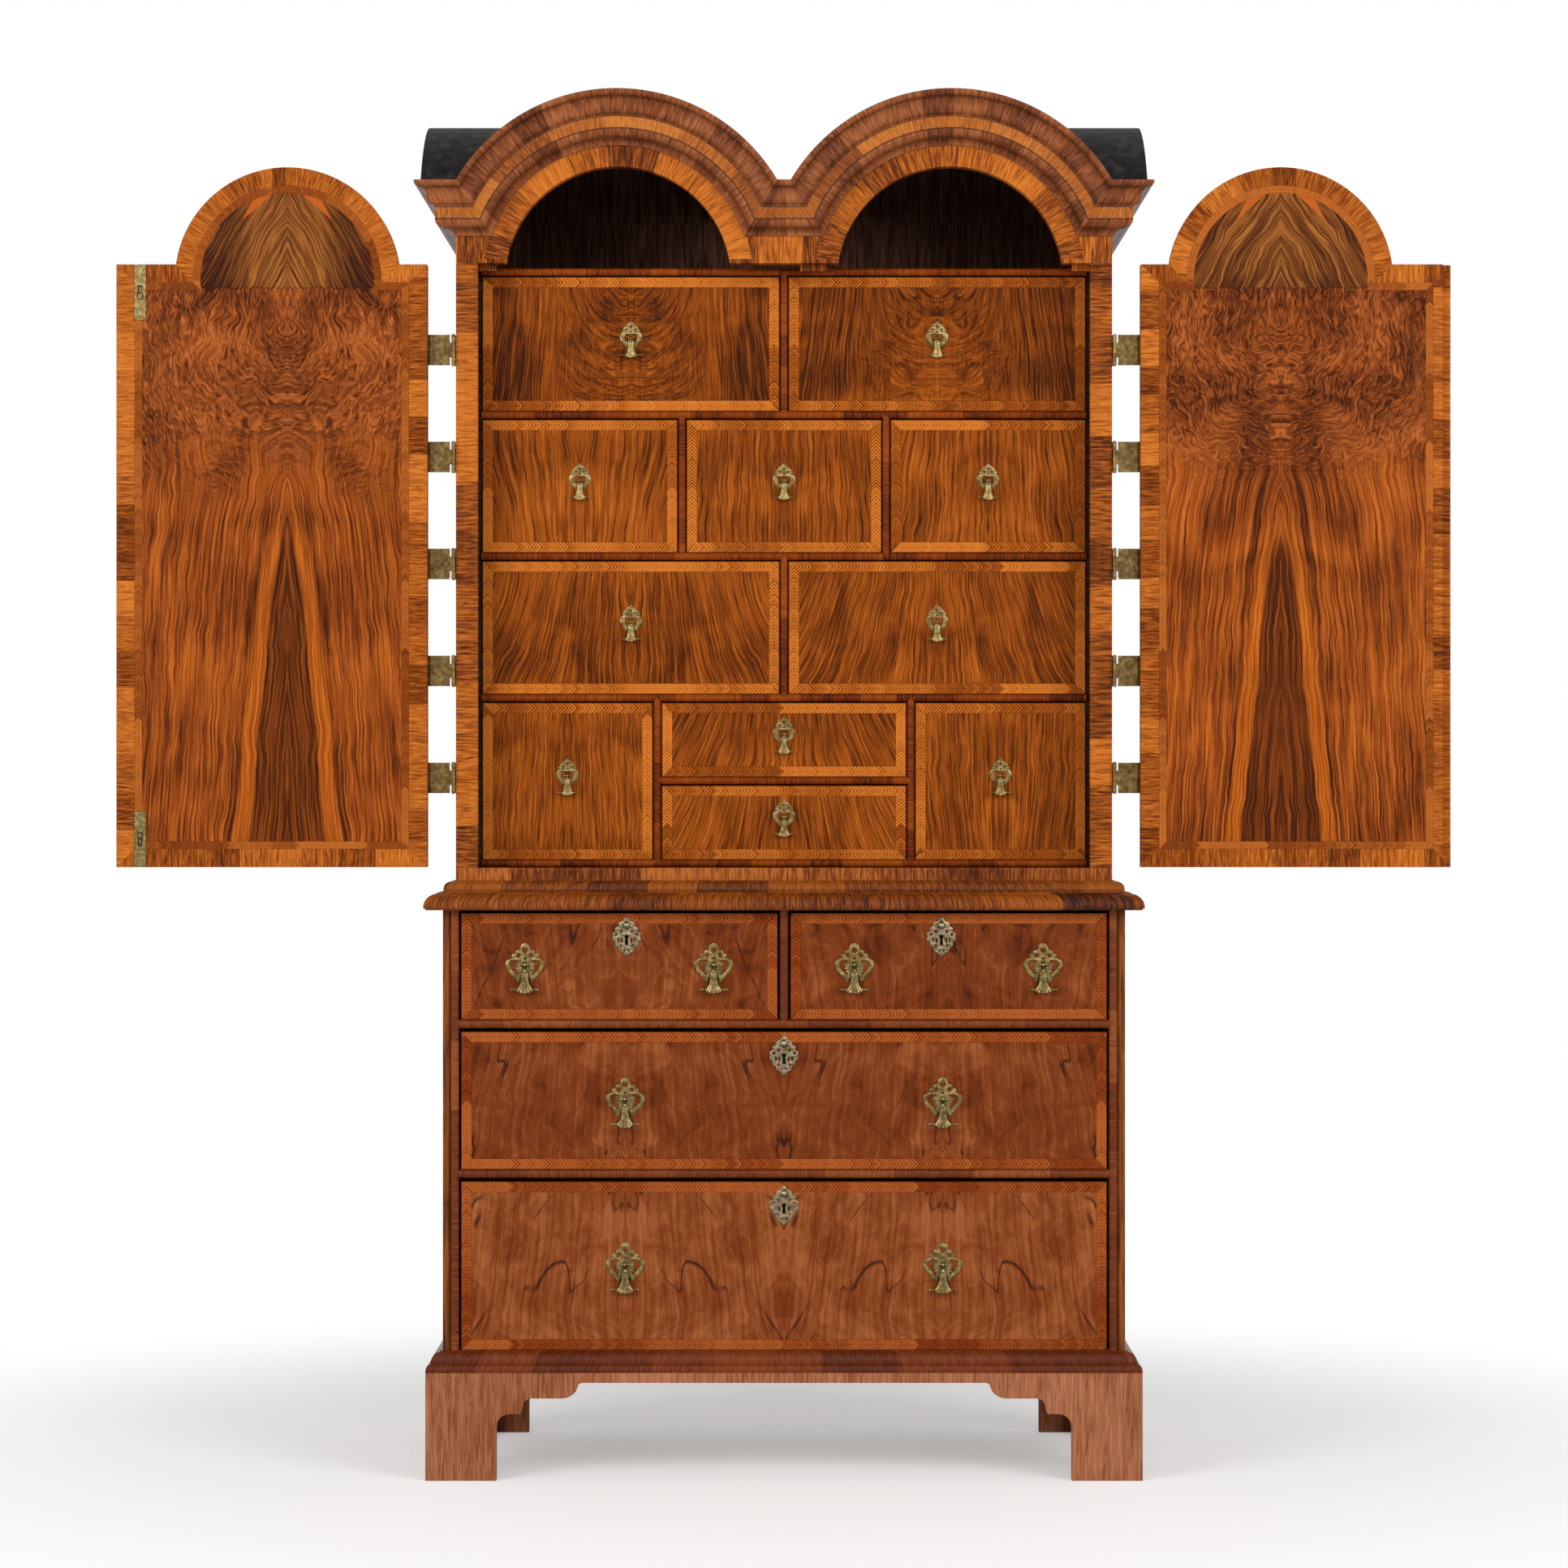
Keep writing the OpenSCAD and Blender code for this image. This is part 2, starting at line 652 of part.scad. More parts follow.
// The leaf on the cabinet's side, with the top and bottom knuckles
module case_leaf(z) {
    x = -cabinet_half - leaf_t;
    difference() {
        union() {
            block(x, -cabinet_half, y_face + 2, y_face + leaf_l, z - hinge_h / 2, z + hinge_h / 2);
            for (z0 = [z - hinge_h / 2, z + hinge_h / 2 - knuckle_h]) {
                block(x, -cabinet_half, hinge_y, y_face + 2 + over, z0, z0 + knuckle_h);
                translate([-hinge_x, hinge_y, z0]) cylinder(r = knuckle_r, h = knuckle_h);
            }
        }
        pin_bore(z);
    }
}
// The leaf on the door's outer face, which is behind the door when it stands open, with the middle knuckle
module door_leaf(z) {
    y0 = 2 * hinge_y - y_face + door_proud;
    clear_x = -hinge_x - knuckle_r - 2;
    x_end = -2 * hinge_x + opening_half - door_gap - leaf_l;
    difference() {
        union() {
            block(x_end, clear_x, y0, y0 + leaf_t, z - hinge_h / 2, z + hinge_h / 2);
            block(clear_x - over, -hinge_x, y0, y0 + leaf_t, z - tongue_h / 2, z + tongue_h / 2);
            translate([-hinge_x, hinge_y, z - tongue_h / 2]) cylinder(r = knuckle_r, h = tongue_h);
        }
        pin_bore(z);
    }
}
pin_head_h = 1;
module hinge_pin(z) {
    h = hinge_h + 2 * seam + 2 * pin_head_h;
    translate([-hinge_x, hinge_y, z]) {
        cylinder(r = hinge_pin_r, h = h, center = true);
        for (s = [-1, 1]) translate([0, 0, s * (h - pin_head_h) / 2])
            cylinder(r = hinge_pin_r + 0.8, h = pin_head_h, center = true);
    }
}
module case_hinge_leaves() {
    color(brass) both_sides() for (i = [0:hinge_n - 1]) case_leaf(hinge_z(i));
}
module hinge_pins() {
    color(brass) both_sides() for (i = [0:hinge_n - 1]) hinge_pin(hinge_z(i));
}
module left_door_leaves() {
    color(brass) for (i = [0:hinge_n - 1]) door_leaf(hinge_z(i));
}
module right_door_leaves() {
    color(brass) mirror([1, 0, 0]) for (i = [0:hinge_n - 1]) door_leaf(hinge_z(i));
}

// Doors are drawn shut and then swung half a turn about the hinge line
module swung() {
    translate([-hinge_x, hinge_y, 0]) rotate([0, 0, 180]) translate([hinge_x, -hinge_y, 0]) children();
}
door_y = y_face - door_proud;
door_foot = z_opening + door_gap;
door_head = z_shoulder - door_top_gap;
lap_gap = 1;
// Arched board of a left-hand door, from its hinge edge to so far past the middle
module door_board(past, y0, t) {
    edge = -opening_half + door_gap;
    translate([0, y0 + t, 0]) rotate([90, 0, 0]) linear_extrude(t) {
        translate([edge, door_foot]) square([past - edge, door_head - door_foot]);
        intersection() {
            translate([-arch_x, z_arch - door_top_gap + door_gap]) circle(r = arch_r - door_gap, $fn = arch_fn);
            translate([-cabinet_w, z_arch]) square([cabinet_w, cabinet_w]);
        }
    }
}
// The left door's inner half laps behind the right door's outer half
module left_door() {
    color(golden_walnut) swung() difference() {
        union() {
            door_board(-lap - lap_gap, door_y, door_t / 2);
            door_board(lap, door_y + door_t / 2, door_t / 2);
        }
        bolt_recess(1);
        bolt_recess(-1);
    }
}
module right_door() {
    color(golden_walnut) mirror([1, 0, 0]) swung() difference() {
        union() {
            door_board(lap, door_y, (door_t - lap_gap) / 2);
            door_board(-lap - lap_gap, door_y + door_t / 2 - lap_gap, door_t / 2 + lap_gap);
        }
        lock_space(seam);
        translate([-lock_inset, door_y - over, lock_z]) rotate([-90, 0, 0])
            cylinder(r = keyhole_r, h = lock_depth + over);
    }
}

// Flush bolts, drawn on the shut left door: end 1 is the top one, end -1 the bottom one
bolt_x = lap - bolt_inset;
bolt_plate_t = 2;
bar_w = 8;
bar_t = 4;
bar_gap = 0.4;
thumb_h = 7;
module at_bolt(end) {
    translate([bolt_x, door_y + door_t, end > 0 ? door_head : door_foot]) mirror([0, 0, end > 0 ? 0 : 1]) children();
}
module bolt_recess(end) {
    w = bar_w / 2 + bar_gap;
    at_bolt(end) {
        block(-bolt_w / 2 - seam, bolt_w / 2 + seam, -bolt_plate_t, over, -bolt_l, over);
        block(-w, w, -bolt_plate_t - bar_t - 2 * bar_gap, over - bolt_plate_t, -bolt_l + 8, over);
    }
}
// Plate with the slot that the bolt's thumb catch slides in
module bolt_plates() {
    slot = thumb_h + bolt_travel + 1;
    color(brass) swung() for (end = [1, -1]) at_bolt(end) difference() {
        block(-bolt_w / 2, bolt_w / 2, -bolt_plate_t, 0, -bolt_l + seam, 0);
        block(-3.4, 3.4, -bolt_plate_t - over, over, -bolt_l / 2 - slot / 2, -bolt_l / 2 + slot / 2);
    }
}
module bolt_bar(end) {
    y1 = -bolt_plate_t - bar_gap;
    z0 = -bolt_l / 2 - (thumb_h + bolt_travel) / 2;
    color(brass) swung() at_bolt(end) {
        block(-bar_w / 2, bar_w / 2, y1 - bar_t, y1, -bolt_l + 14, 0);
        block(-3, 3, y1 - over, 1.5, z0, z0 + thumb_h);
    }
}
// Socket for a bolt in the face at height z, up or down
module bolt_socket(z, way) {
    w = bar_w / 2 + bar_gap;
    y1 = door_y + door_t - bolt_plate_t;
    d = bolt_travel + 2;
    block(bolt_x - w, bolt_x + w, y1 - bar_t - 2 * bar_gap, y1, way > 0 ? z - over : z - d, way > 0 ? z + d : z + over);
}

// Lock let into the right door's edge, drawn on the left like the door, with its outer escutcheon
lock_z = (door_foot + z_shoulder) / 2 + 20;
lock_w = 52;
lock_depth = 12;
lock_t = 6;
keyhole_r = 2.5;
module lock_space(gap) {
    x1 = -lap - lap_gap;
    block(x1 - lock_w - gap, x1 - seam + 2 * gap, door_y + lock_depth - gap, door_y + lock_depth + lock_t + gap,
          lock_z - lock_h / 2 - gap, lock_z + lock_h / 2 + gap);
}
module door_lock() {
    color(brass) mirror([1, 0, 0]) swung() {
        lock_space(0);
        translate([-lock_inset, door_y - seam, lock_z]) rotate([90, 0, 0]) linear_extrude(plate_t)
            escutcheon_outline();
    }
}

// Pierced back plate of a drop pull, flat, with the post at the origin: two scrolled lobes under a crest
module plate_outline(w, h) {
    difference() {
        union() {
            for (s = [-1, 1]) {
                translate([s * w * 0.24, h * 0.06]) circle(r = w * 0.25);
                translate([s * w * 0.22, h * 0.32]) circle(r = h * 0.13);
                translate([s * w * 0.12, h * 0.42]) circle(r = h * 0.1);
            }
            translate([0, h * 0.5]) circle(r = h * 0.09);
            polygon([[-w * 0.46, -h * 0.06], [w * 0.46, -h * 0.06], [w * 0.19, -h * 0.39], [-w * 0.19, -h * 0.39]]);
            translate([-w * 0.2, -h * 0.1]) square([w * 0.4, h * 0.5]);
        }
        for (s = [-1, 1]) mirror([s > 0 ? 0 : 1, 0]) {
            translate([w * 0.29, h * 0.04]) circle(r = w * 0.11);
            polygon([[w * 0.19, h * 0.08], [w * 0.39, h * 0.02], [w * 0.19, -h * 0.24]]);
            translate([w * 0.17, h * 0.29]) circle(r = h * 0.05);
        }
        translate([0, h * 0.43]) circle(r = h * 0.07);
        translate([0, h * 0.2]) circle(r = h * 0.035);
    }
}

// Keyhole with its round top at the origin
module keyhole(w, h) {
    circle(r = w / 2);
    translate([-w * 0.35, -h]) square([w * 0.7, h]);
}
// Lozenge escutcheon of lobes: each lobe is [across, up, radius] in shares of the plate's width and height
LOBES = [[0.1, 0.38, 0.08], [0.2, 0.3, 0.08], [0.28, 0.21, 0.08], [0.38, 0.09, 0.12], [0.37, -0.07, 0.1],
         [0.31, -0.2, 0.09], [0.21, -0.29, 0.09], [0.09, -0.37, 0.09]];
module escutcheon_outline() {
    w = escutcheon_w;
    h = escutcheon_h;
    difference() {
        union() {
            polygon(concat([[0, h * 0.44]], [for (q = LOBES) [q[0] * w, q[1] * h]], [[0, -h * 0.44]],
                           [for (i = [len(LOBES) - 1:-1:0]) [-LOBES[i][0] * w, LOBES[i][1] * h]]));
            for (q = LOBES, s = [-1, 1]) translate([s * q[0] * w, q[1] * h]) circle(r = q[2] * w, $fn = 24);
            for (s = [-1, 1]) translate([0, s * h * 0.42]) circle(r = h * 0.08);
        }
        keyhole(w * 0.14, h * 0.21);
        for (s = [-1, 1]) {
            translate([s * w * 0.37, h * 0.09]) circle(r = w * 0.035, $fn = 16);
            translate([s * w * 0.2, -h * 0.05]) circle(r = w * 0.05, $fn = 16);
            translate([s * w * 0.09, -h * 0.35]) circle(r = w * 0.035, $fn = 16);
        }
    }
}

// Drop pull round its pivot: reach is the pivot's distance from the drawer's face
function post_r(reach) = reach * 0.24;
function ear_in(reach) = post_r(reach) + 0.5;
function pivot_r(reach) = reach * 0.1;
ear_t = 2;
module pull_plate(w, h, reach) {
    translate([0, reach - seam, 0]) rotate([90, 0, 0]) {
        linear_extrude(plate_t) plate_outline(w, h);
        cylinder(r = post_r(reach), h = reach - seam + post_r(reach));
    }
    rotate([0, 90, 0]) cylinder(r = pivot_r(reach), h = 2 * (ear_in(reach) + ear_t + 0.4), center = true);
}
// Two ears hold a flared, flat-backed drop with a beaded bar across its foot
module drop(l, reach) {
    in = ear_in(reach);
    out = in + ear_t;
    t = reach * 0.5;
    top = reach * 0.46;
    difference() {
        union() {
            for (s = [-1, 1]) translate([s * (in + ear_t / 2), 0, 0]) {
                rotate([0, 90, 0]) cylinder(r = t / 2, h = ear_t, center = true);
                block(-ear_t / 2, ear_t / 2, -t / 2, t / 2, -top - over, 0);
            }
            translate([0, t / 2, 0]) rotate([90, 0, 0]) linear_extrude(t) polygon(concat(
                [[-out, -top], [out, -top]],
                arc(l * 0.27, -l * 0.45, l * 0.27 - in, l * 0.45, 180, 270, 5),
                [[l * 0.24, -l * 0.97], [0, -l], [-l * 0.24, -l * 0.97]],
                arc(-l * 0.27, -l * 0.45, l * 0.27 - in, l * 0.45, 270, 360, 5)));
            translate([0, 0, -l * 0.85]) {
                rotate([0, 90, 0]) cylinder(r = l * 0.025, h = l * 0.9, center = true);
                for (x = [0.35, 0.45], s = [-1, 1]) translate([s * l * x, 0, 0]) sphere(r = l * 0.045, $fn = 24);
            }
        }
        rotate([0, 90, 0]) cylinder(r = pivot_r(reach) + pin_fit, h = 2 * out + over, center = true);
    }
}

// A drawer of five boards: front, two sides, back and bottom
module drawer_box(q, gap, top_gap, y, depth, front_t, side_t) {
    x0 = q[0] + gap;
    x1 = q[1] - gap;
    z0 = q[2] + drawer_seat;
    z1 = q[3] - top_gap;
    y1 = y + depth;
    yi = y + front_t + seam;
    block(x0, x1, y, y + front_t, z0, z1);
    block(x0, x0 + side_t, yi, y1, z0, z1 - side_drop);
    block(x1 - side_t, x1, yi, y1, z0, z1 - side_drop);
    block(x0 + side_t + seam, x1 - side_t - seam, y1 - side_t, y1, z0, z1 - side_drop);
    block(x0 + side_t + seam, x1 - side_t - seam, yi, y1 - side_t - seam, z0, z0 + drawer_bottom_t);
}

// The small drawers' depth and the place of their pulls
small_depth = y_back - cabinet_back_t - y_nest - small_back_gap;
module at_nest_pull(q) {
    translate([(q[0] + q[1]) / 2, y_nest - small_reach, (q[2] + q[3]) / 2 + small_pull_lift]) children();
}
module nest_drawer(i) {
    color(golden_walnut)
        drawer_box(NEST[i], small_gap, small_top_gap, y_nest, small_depth, small_front_t, small_side_t);
    color(brass) at_nest_pull(NEST[i]) pull_plate(small_plate_w, small_plate_h, small_reach);
}
module nest_drop(i) {
    color(brass) at_nest_pull(NEST[i]) drop(small_drop_l, small_reach);
}

// The chest drawers' depth, pulls, escutcheons and locks
large_depth = y_back - chest_back_t - y_chest - large_back_gap;
case_lock_w = 60;
case_lock_h = 50;
case_lock_t = 12;
function pull_places(i) = i > 1 ? [-long_pull_x, long_pull_x]
    : let (m = (CHEST[i][0] + CHEST[i][1]) / 2) [m - short_pull_x, m + short_pull_x];
function lock_x(i) = i > 1 ? 0 : (2 * i - 1) * short_lock_x;
function escutcheon_z(i) = CHEST[i][3] - large_top_gap - escutcheon_drop - escutcheon_h / 2;
module at_chest_pulls(i) {
    for (x = pull_places(i)) translate([x, y_chest - large_reach, (CHEST[i][2] + CHEST[i][3]) / 2]) children();
}
module chest_drawer(i) {
    top = CHEST[i][3] - large_top_gap;
    color(walnut) difference() {
        drawer_box(CHEST[i], large_gap, large_top_gap, y_chest, large_depth, large_front_t, large_side_t);
        translate([lock_x(i), y_chest + large_front_t + seam / 2, escutcheon_z(i)]) rotate([90, 0, 0])
            linear_extrude(large_front_t + over) keyhole(escutcheon_w * 0.14, escutcheon_h * 0.21);
    }
    color(brass) {
        at_chest_pulls(i) pull_plate(large_plate_w, large_plate_h, large_reach);
        translate([lock_x(i), y_chest - seam, escutcheon_z(i)]) rotate([90, 0, 0]) linear_extrude(plate_t)
            escutcheon_outline();
        block(lock_x(i) - case_lock_w / 2, lock_x(i) + case_lock_w / 2, y_chest + large_front_t + seam,
              y_chest + large_front_t + case_lock_t, top - 2 - case_lock_h, top - 2);
    }
}
module chest_drops(i) {
    color(brass) at_chest_pulls(i) drop(large_drop_l, large_reach);
}

front_feet();
rear_feet();
base_moulding();
chest_floor();
chest_sides();
chest_rails();
chest_divider();
chest_back();
chest_top();
waist_moulding();
cabinet_floor();
cabinet_sides();
cabinet_back();
face_stiles();
arch_board();
cornice();
cornice_returns();
dome_roof();
nest_shelves();
nest_uprights();
case_hinge_leaves();
hinge_pins();
left_door();
left_door_leaves();
bolt_plates();
bolt_bar(1);  // top_bolt
bolt_bar(-1);  // bottom_bolt
right_door();
right_door_leaves();
door_lock();
nest_drawer(0);  // drawer_row1_left
nest_drawer(1);  // drawer_row1_right
nest_drawer(2);  // drawer_row2_left
nest_drawer(3);  // drawer_row2_middle
nest_drawer(4);  // drawer_row2_right
nest_drawer(5);  // drawer_row3_left
nest_drawer(6);  // drawer_row3_right
nest_drawer(7);  // drawer_row4_left
nest_drawer(8);  // drawer_row4_upper
nest_drawer(9);  // drawer_row4_lower
nest_drawer(10);  // drawer_row4_right
nest_drop(0);  // drop_row1_left
nest_drop(1);  // drop_row1_right
nest_drop(2);  // drop_row2_left
nest_drop(3);  // drop_row2_middle
nest_drop(4);  // drop_row2_right
nest_drop(5);  // drop_row3_left
nest_drop(6);  // drop_row3_right
nest_drop(7);  // drop_row4_left
nest_drop(8);  // drop_row4_upper
nest_drop(9);  // drop_row4_lower
nest_drop(10);  // drop_row4_right
chest_drawer(0);  // chest_drawer_top_left
chest_drawer(1);  // chest_drawer_top_right
chest_drawer(2);  // chest_drawer_middle
chest_drawer(3);  // chest_drawer_bottom
chest_drops(0);  // drops_top_left
chest_drops(1);  // drops_top_right
chest_drops(2);  // drops_middle
chest_drops(3);  // drops_bottom
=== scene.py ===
# Walnut cabinet on chest with two domes: both doors open, eleven small drawers inside, four in the chest.
# Sizes in the dictionaries are millimetres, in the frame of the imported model. Blender works in metres.
import math
from functools import partial

import bmesh
import bpy
from mathutils import Matrix, Vector


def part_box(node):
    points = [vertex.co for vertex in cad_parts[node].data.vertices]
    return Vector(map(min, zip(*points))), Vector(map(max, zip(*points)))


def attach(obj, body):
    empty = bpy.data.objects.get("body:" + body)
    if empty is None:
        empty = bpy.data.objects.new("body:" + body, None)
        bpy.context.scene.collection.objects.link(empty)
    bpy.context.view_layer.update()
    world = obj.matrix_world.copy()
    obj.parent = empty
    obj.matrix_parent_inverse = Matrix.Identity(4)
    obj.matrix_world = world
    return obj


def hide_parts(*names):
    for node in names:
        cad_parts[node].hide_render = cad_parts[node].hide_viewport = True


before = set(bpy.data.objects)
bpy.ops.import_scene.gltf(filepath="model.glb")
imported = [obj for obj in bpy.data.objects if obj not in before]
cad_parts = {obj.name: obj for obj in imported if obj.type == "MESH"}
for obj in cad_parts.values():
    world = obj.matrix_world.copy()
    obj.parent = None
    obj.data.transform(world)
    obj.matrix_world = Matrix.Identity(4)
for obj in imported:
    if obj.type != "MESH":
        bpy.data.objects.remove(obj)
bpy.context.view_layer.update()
mm = 0.001

case = {
    "yBack": 261, "yInside": 251, "yChest": -219, "yFace": -203, "yNest": -145, "faceThickness": 22,
    "chestHalf": 503, "pocketHalf": 479, "cabinetHalf": 485, "liningHalf": 467, "openingHalf": 453,
    "nestHalf": 451, "sideFront": 8.8, "zBase": 158.5, "zFloor": 189, "zRails": (442.5, 663.5),
    "railThickness": 13, "zChest": 838.5, "zWaist": 864, "zFloorUnder": 880, "zOpening": 900,
    "zShoulder": 1794, "zArch": 1770, "zCornice": 1834, "archX": 245.5, "archBand": 183, "archBandOuter": 200,
    "corniceRadius": 198, "roofInside": 259.5, "yRoofInside": 255.5,
}
print("frame loaded")


# Nodes and colours. A sign, or a kind in capitals, is an operation of the Math node on any number of values.
# A name with a capital is an input, one without a setting, and stops holds places and colours of a ramp.
signs = {"+": "ADD", "-": "SUBTRACT", "*": "MULTIPLY", "/": "DIVIDE", "*+": "MULTIPLY_ADD", "<": "LESS_THAN",
         ">": "GREATER_THAN", "abs": "ABSOLUTE", "min": "MINIMUM", "max": "MAXIMUM"}


def addNode(tree, kind, *values, at=None, stops="", **settings):
    kind = signs.get(kind, kind)
    if kind.isupper():
        if len(values) > 2 and kind != "MULTIPLY_ADD":
            values = addNode(tree, kind, *values[:-1]), values[-1]
        kind, settings = "ShaderNodeMath", {"operation": kind}
    elif "Node" not in kind:
        kind = "ShaderNode" + kind
    if kind == "ShaderNodeMix":
        settings.setdefault("data_type", "RGBA")
    node = tree.nodes.new(kind)
    inputs = {key: settings.pop(key) for key in [*settings] if key[0].isupper()}
    for key, value in settings.items():
        setattr(node, key, value)
    if stops:
        parts, elements = stops.split(), node.color_ramp.elements
        while 2 * len(elements) < len(parts):
            elements.new(0.5)
        for element, place, tone in zip(elements, parts[::2], parts[1::2]):
            element.position, element.color = float(place), fromHex(tone)
    order = range(len(values))
    if kind == "ShaderNodeMix":
        order = (0, 6, 7) if node.data_type == "RGBA" else (0, 2, 3)
    for key, value in [*zip(order, values), *inputs.items(), *(at or {}).items()]:
        if isinstance(value, bpy.types.Node):
            colours = value.bl_idname == "ShaderNodeMix" and value.data_type == "RGBA"
            value = value.outputs[2 if colours else 0]
        if isinstance(value, bpy.types.NodeSocket):
            tree.links.new(value, node.inputs[key])
        else:
            node.inputs[key].default_value = fromHex(value) if str(value).startswith("#") else value
    return node


def fromHex(text):
    parts = [int(text[k:k + 2], 16) / 255 for k in (1, 3, 5)]
    return (*(c / 12.92 if c <= 0.04045 else ((c + 0.055) / 1.055) ** 2.4 for c in parts), 1)


def newMaterial(name, build):
    material = bpy.data.materials.new(name)
    material.use_nodes = True
    tree = material.node_tree
    tree.nodes.clear()
    n = partial(addNode, tree)
    n("OutputMaterial", build(n))
    return material


smooth = {"interpolation_type": "SMOOTHSTEP"}


# Polished veneer: a thin film of wax over the pores, so a soft gloss with a clearer one on top
def polished(n, colour, height, roughness=0.42, coat=0.0, gloss=0.05):
    bump = n("Bump", Strength=0.35, Distance=0.0002, Height=height)
    return n("BsdfPrincipled", at={"Base Color": colour, "Roughness": roughness, "Specular IOR Level": gloss,
                                   "Coat Weight": coat, "Coat Roughness": 0.16, "Normal": bump})


# Place from the nearer arch's centre: across, up and the distance, in metres
def aboutArch(n, x, z, archX, zArch):
    across = n("-", n("abs", x), archX * mm)
    up = n("-", z, zArch * mm)
    return across, up, n("VectorMath", n("CombineXYZ", across, 0, up), operation="LENGTH").outputs["Value"]


# Long pores and streaks of walnut, for any two coordinates in metres. Returns a value from 0 to 1.
def streaks(n, across, along, seed, width, stretch=14, distortion=0.5, detail=6):
    place = n("CombineXYZ", n("/", across, width * mm), n("/", along, width * stretch * mm), seed)
    return n("TexNoise", Vector=place, Scale=1, Detail=detail, Roughness=0.62, Distortion=distortion)


# Crossbanding: short lengths of veneer whose grain runs across the band, each of its own tone
def crossBand(n, run, depth, seed, tones, length, width=2.2):
    sway = n("TexNoise", Vector=n("CombineXYZ", n("/", run, 1.8 * length * mm), seed, 0), Scale=1)
    shifted = n("+", n("/", run, length * mm), n("*", sway, 1.2), n("*", seed, 3.31))
    piece = n("FLOOR", shifted)
    tone = n("TexWhiteNoise", n("CombineXYZ", piece, seed, 0))
    own = n("*+", tone, 0.7, run)
    grain = streaks(n, own, depth, n("+", piece, seed), width, 11, 0.6)
    hair = streaks(n, own, depth, n("+", seed, 4), 0.7, 26, 0.2, 3)
    value = n("+", n("*", grain, 0.66), n("*", tone, 0.17), 0.015, n("*", hair, 0.17))
    joint = n("<", n("FRACT", shifted), 0.5 / length)
    return n("Mix", n("*", joint, 0.7), n("ValToRGB", value, stops=tones), "#200e06"), grain


# Feather banding: two strips of slanting grain that meet on a line, laid in lengths of differing tone
def featherBand(n, run, share, seed, tones, pitch=5.0, slant=1.6, strokes=20):
    lean = n("abs", n("-", share, 0.5))
    stroke = n("*+", lean, slant * 2, n("/", run, pitch * mm))
    place = n("CombineXYZ", stroke, n("*", share, 0.15), seed)
    uneven = n("TexNoise", Vector=place, Scale=0.45, Detail=3, Roughness=0.6)
    phase = n("FRACT", n("+", stroke, uneven))
    line = n("MapRange", n("abs", n("-", phase, 0.5)), 0.06, 0.26, 1, 0)
    tone = n("TexWhiteNoise", n("CombineXYZ", n("FLOOR", n("/", stroke, strokes)), seed, 0))
    value = n("+", n("*", tone, 0.34), n("*", uneven, 0.5), 0.25)
    colour = n("ValToRGB", n("-", value, n("*", line, 0.36)), stops=tones)
    return n("Mix", n("*", n("<", lean, 0.025), 0.3), colour, "#3a1a0a")


walnutTones = {
    "stile": "0.38 #45210d 0.46 #793b15 0.53 #aa591c 0.63 #d0762a",
    "rail": "0.4 #4e220f 0.46 #6c3519 0.53 #9a521f 0.6 #b9692e",
    "cross": "0.38 #562406 0.46 #87410f 0.53 #a9581a 0.64 #d0782b",
    "cornice": "0.38 #451f0d 0.46 #6d391d 0.53 #884926 0.62 #a8653a",
    "golden": "0.39 #6f350e 0.46 #914c17 0.53 #a95d1e 0.62 #c2742f",
    "waist": "0.41 #200c04 0.47 #532204 0.53 #753606 0.61 #9c5212",
    "edge": "0.4 #371303 0.46 #6a2804 0.53 #823504 0.61 #98480f",
    "bead": "0.4 #4c1b02 0.46 #682a07 0.53 #77360e 0.61 #934f22",
    "base": "0.4 #3b1302 0.46 #561e03 0.53 #682a08 0.61 #803a14",
    "foot": "0.4 #824a2b 0.46 #9a5d3c 0.53 #a76a49 0.61 #b87755",
    "carcase": "0.38 #4a2410 0.46 #6c3a1b 0.53 #7f451e 0.63 #955527",
    "oak": "0.38 #7a522c 0.46 #94673c 0.53 #a4764a 0.63 #b68a5c",
    "smoked": "0.38 #40291f 0.46 #58382b 0.53 #6e4738 0.63 #885e49",
    "dark": "0.38 #1a100d 0.46 #261914 0.53 #301f18 0.63 #3e2a20",
}


# Materials on a run of moulding or edging: the attribute "grain" holds run, depth and seed in metres.
# golden is a stretch of the section in golden tones, and quirks are depths of the narrow grooves between its
# members, each painted darker as painted shade.
def runMaterial(name, tones, length, width, roughness=0.42, coat=0.0, gloss=0.14, golden=None, shadedQuirks=()):
    def build(n):
        run, depth, seed = n("SeparateXYZ", n("Attribute", attribute_name="grain").outputs["Vector"]).outputs
        colour, grain = crossBand(n, run, depth, seed, walnutTones[tones], length, width)
        if golden:
            own, grain = crossBand(n, run, depth, n("+", seed, 3), walnutTones["golden"], length * 2.6, width)
            inside = n("*", n(">", depth, golden[0] * mm),
                       n("<", depth, golden[1] * mm))
            colour = n("Mix", inside, colour, own)
        for shadedQuirk in shadedQuirks:
            # painted shade along each groove of the section
            quirkShade = n("MapRange", n("abs", n("-", depth, shadedQuirk * mm)), 0.0004, 0.0016, 0.8, 0)
            colour = n("Mix", quirkShade, colour, "#1e0e07")
        return polished(n, colour, grain, roughness, coat, gloss)
    return newMaterial(name, build)


